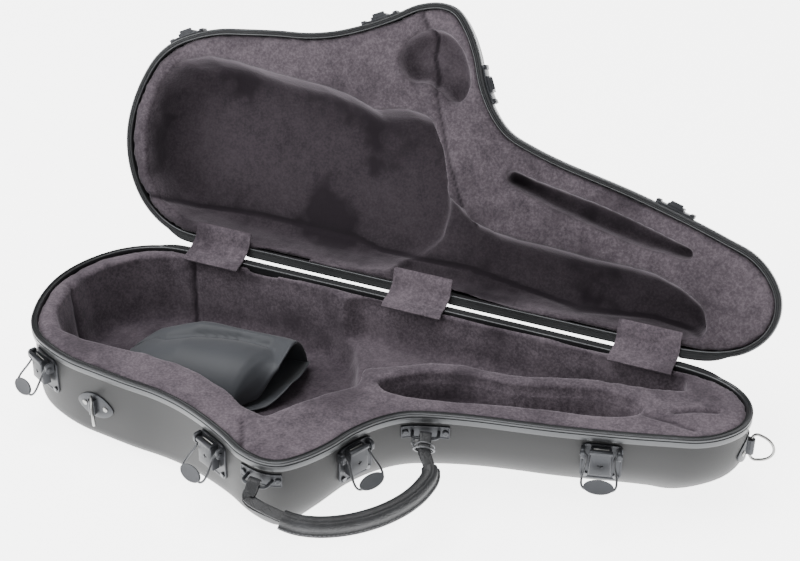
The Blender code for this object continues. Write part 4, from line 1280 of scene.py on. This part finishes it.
def makePouch():
    s = pouchSizes
    low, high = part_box("pouch")
    rows, rounds = 70, 120
    points = []

    def section(u, inner):
        x = low.x + 2 * mm + (high.x - low.x - 16 * mm) * u
        middle = np.interp(u, (0, 1), (22, 32)) * mm
        end = math.sqrt(max(1 - (1 - min(u / 0.16, 1)) ** 2, 0.02))
        half = np.interp(u, (0, 0.45, 1), (38, 52, 50)) * mm * end - (s["wall"] * mm if inner else 0)
        rise = np.interp(u, (0, 0.12, 0.38, 1), (0.30, 0.62, 1.0, 1.0))
        crease = np.interp(u, *s["crease"])
        close = np.interp(u, (0, 0.76, 0.84, 0.90, 0.96, 1.0), (1, 1, 0.96, 0.86, 0.62, 0.16))
        ring = []
        for j in range(rounds):
            t = math.tau * j / rounds
            v = math.cos(t)
            if v < crease:
                share = (v + 1) / (crease + 1)
                top = s["front"] * (1 - (1 - close) * min(1.0, (1 - share) * 2.2))
            else:
                share = (v - crease) / (1 - crease)
                top = s["back"]
            hump = s["valley"] + (1 - s["valley"]) * math.sin(math.pi * min(max(share, 0.0), 1.0)) ** 0.6
            edge = max(1 - abs(v) ** 3.2, 0.0) ** 0.55
            mouthward = max(0.0, (u - 0.90) / 0.10)
            if math.sin(t) >= 0:
                z = s["floor"] + 3 + (top * rise * hump * edge - (s["wall"] + 1 if inner else 0))
                shift = 0
            else:
                under = -math.sin(t)
                z = s["floor"] + 3 - 2.2 * edge + (s["wall"] if inner else 0)
                z += mouthward ** 2 * under * 17 * np.clip((v + 0.55) / 0.5, 0, 1)
                shift = mouthward * under * s["mouth"] * mm
            corner = min(max((crease + 0.25 - v) / (1.25 + crease), 0.0), 1.0) ** 1.5
            shift -= corner * s["corner"] * mm * u ** 7
            ring.append((x + shift, middle + v * half, max(z, s["floor"] + 0.4) * mm))
        return ring

    for k in range(rows + 1):
        points += section(k / rows, False)
    for k in range(rows, round(rows * 0.72) - 1, -1):
        points += section(k / rows, True)
    count = len(points) // rounds
    faces = [tuple(range(rounds)), tuple(range(len(points) - rounds, len(points)))]
    for k in range(count - 1):
        for j in range(rounds):
            n = (j + 1) % rounds
            faces.append((k * rounds + j, k * rounds + n, (k + 1) * rounds + n, (k + 1) * rounds + j))
    mesh = bpy.data.meshes.new("parts_pouch")
    mesh.from_pydata(points, [], faces)
    piece = bpy.data.objects.new("parts_pouch", mesh)
    bpy.context.scene.collection.objects.link(piece)
    enterEdit(piece)
    bpy.ops.mesh.select_all(action="SELECT")
    bpy.ops.mesh.normals_make_consistent(inside=False)
    leaveEdit()
    applyModifier(piece, "SMOOTH", factor=0.5, iterations=3)
    shape = readPoints(piece)
    shape += readNormals(piece) * (0.5 * mm * waves(shape, 38, 5.0))[:, None]
    writePoints(piece, shape)
    finishPiece(piece, "pouch", pouchVinyl, ["pouch"], None)


makePouch()
print("pouch done")


# camera, floor and light

stageSizes = {"floorGlow": 4.6, "world": 0.34, "lamps": {
    "soft_top": ((-0.5, 0.0, 2.4), (0, 0, 0.1), (2.0, 1.6), 70),
    "soft_left": ((-2.2, -1.0, 1.3), (-0.1, 0, 0.1), (1.2, 1.4), 46),
    "soft_front": ((0.9, -2.3, 1.6), (0, 0, 0.1), (1.8, 1.2), 7),
    "soft_back": ((0.6, 2.2, 1.9), (0, 0.2, 0.2), (2.4, 0.9), 22)}}
cameraSizes = {"place": (0.471, -1.050, 0.929), "turn": (57.24, -0.44, 22.59), "lens": 72.36}


def addCamera():
    camera = bpy.data.objects.new("studio_camera", bpy.data.cameras.new("studio_camera"))
    bpy.context.scene.collection.objects.link(camera)
    camera.location = cameraSizes["place"]
    camera.rotation_euler = [math.radians(a) for a in cameraSizes["turn"]]
    camera.data.lens = cameraSizes["lens"]
    camera.data.sensor_width = 36
    camera.data.clip_end = 50
    bpy.context.scene.camera = camera


def addFloor():
    deselectAll()
    bpy.ops.mesh.primitive_plane_add(size=14, location=(0, 0, -0.0005))
    floor = bpy.context.object
    floor.name = "studio_floor"
    paper = Finish("floor_paper", Roughness=0.9, Base_Color=colour(0.86, 0.86, 0.85),
                   Emission_Color=colour(1, 1, 1), Emission_Strength=stageSizes["floorGlow"])
    floor.data.materials.append(paper.material)


def addLamp(name, place, aim, size, power):
    lamp = bpy.data.objects.new(name, bpy.data.lights.new(name, "AREA"))
    bpy.context.scene.collection.objects.link(lamp)
    lamp.data.shape = "RECTANGLE"
    lamp.data.size, lamp.data.size_y = size
    lamp.data.energy = power
    lamp.location = place
    lamp.rotation_euler = (Vector(aim) - Vector(place)).to_track_quat("-Z", "Y").to_euler()


addCamera()
addFloor()
for name, lamp in stageSizes["lamps"].items():
    addLamp(name, *lamp)
world = bpy.data.worlds.new("studio_world")
bpy.context.scene.world = world
world.use_nodes = True
world.node_tree.nodes["Background"].inputs["Color"].default_value = colour(1, 1, 1)
world.node_tree.nodes["Background"].inputs["Strength"].default_value = stageSizes["world"]
print("stage done")
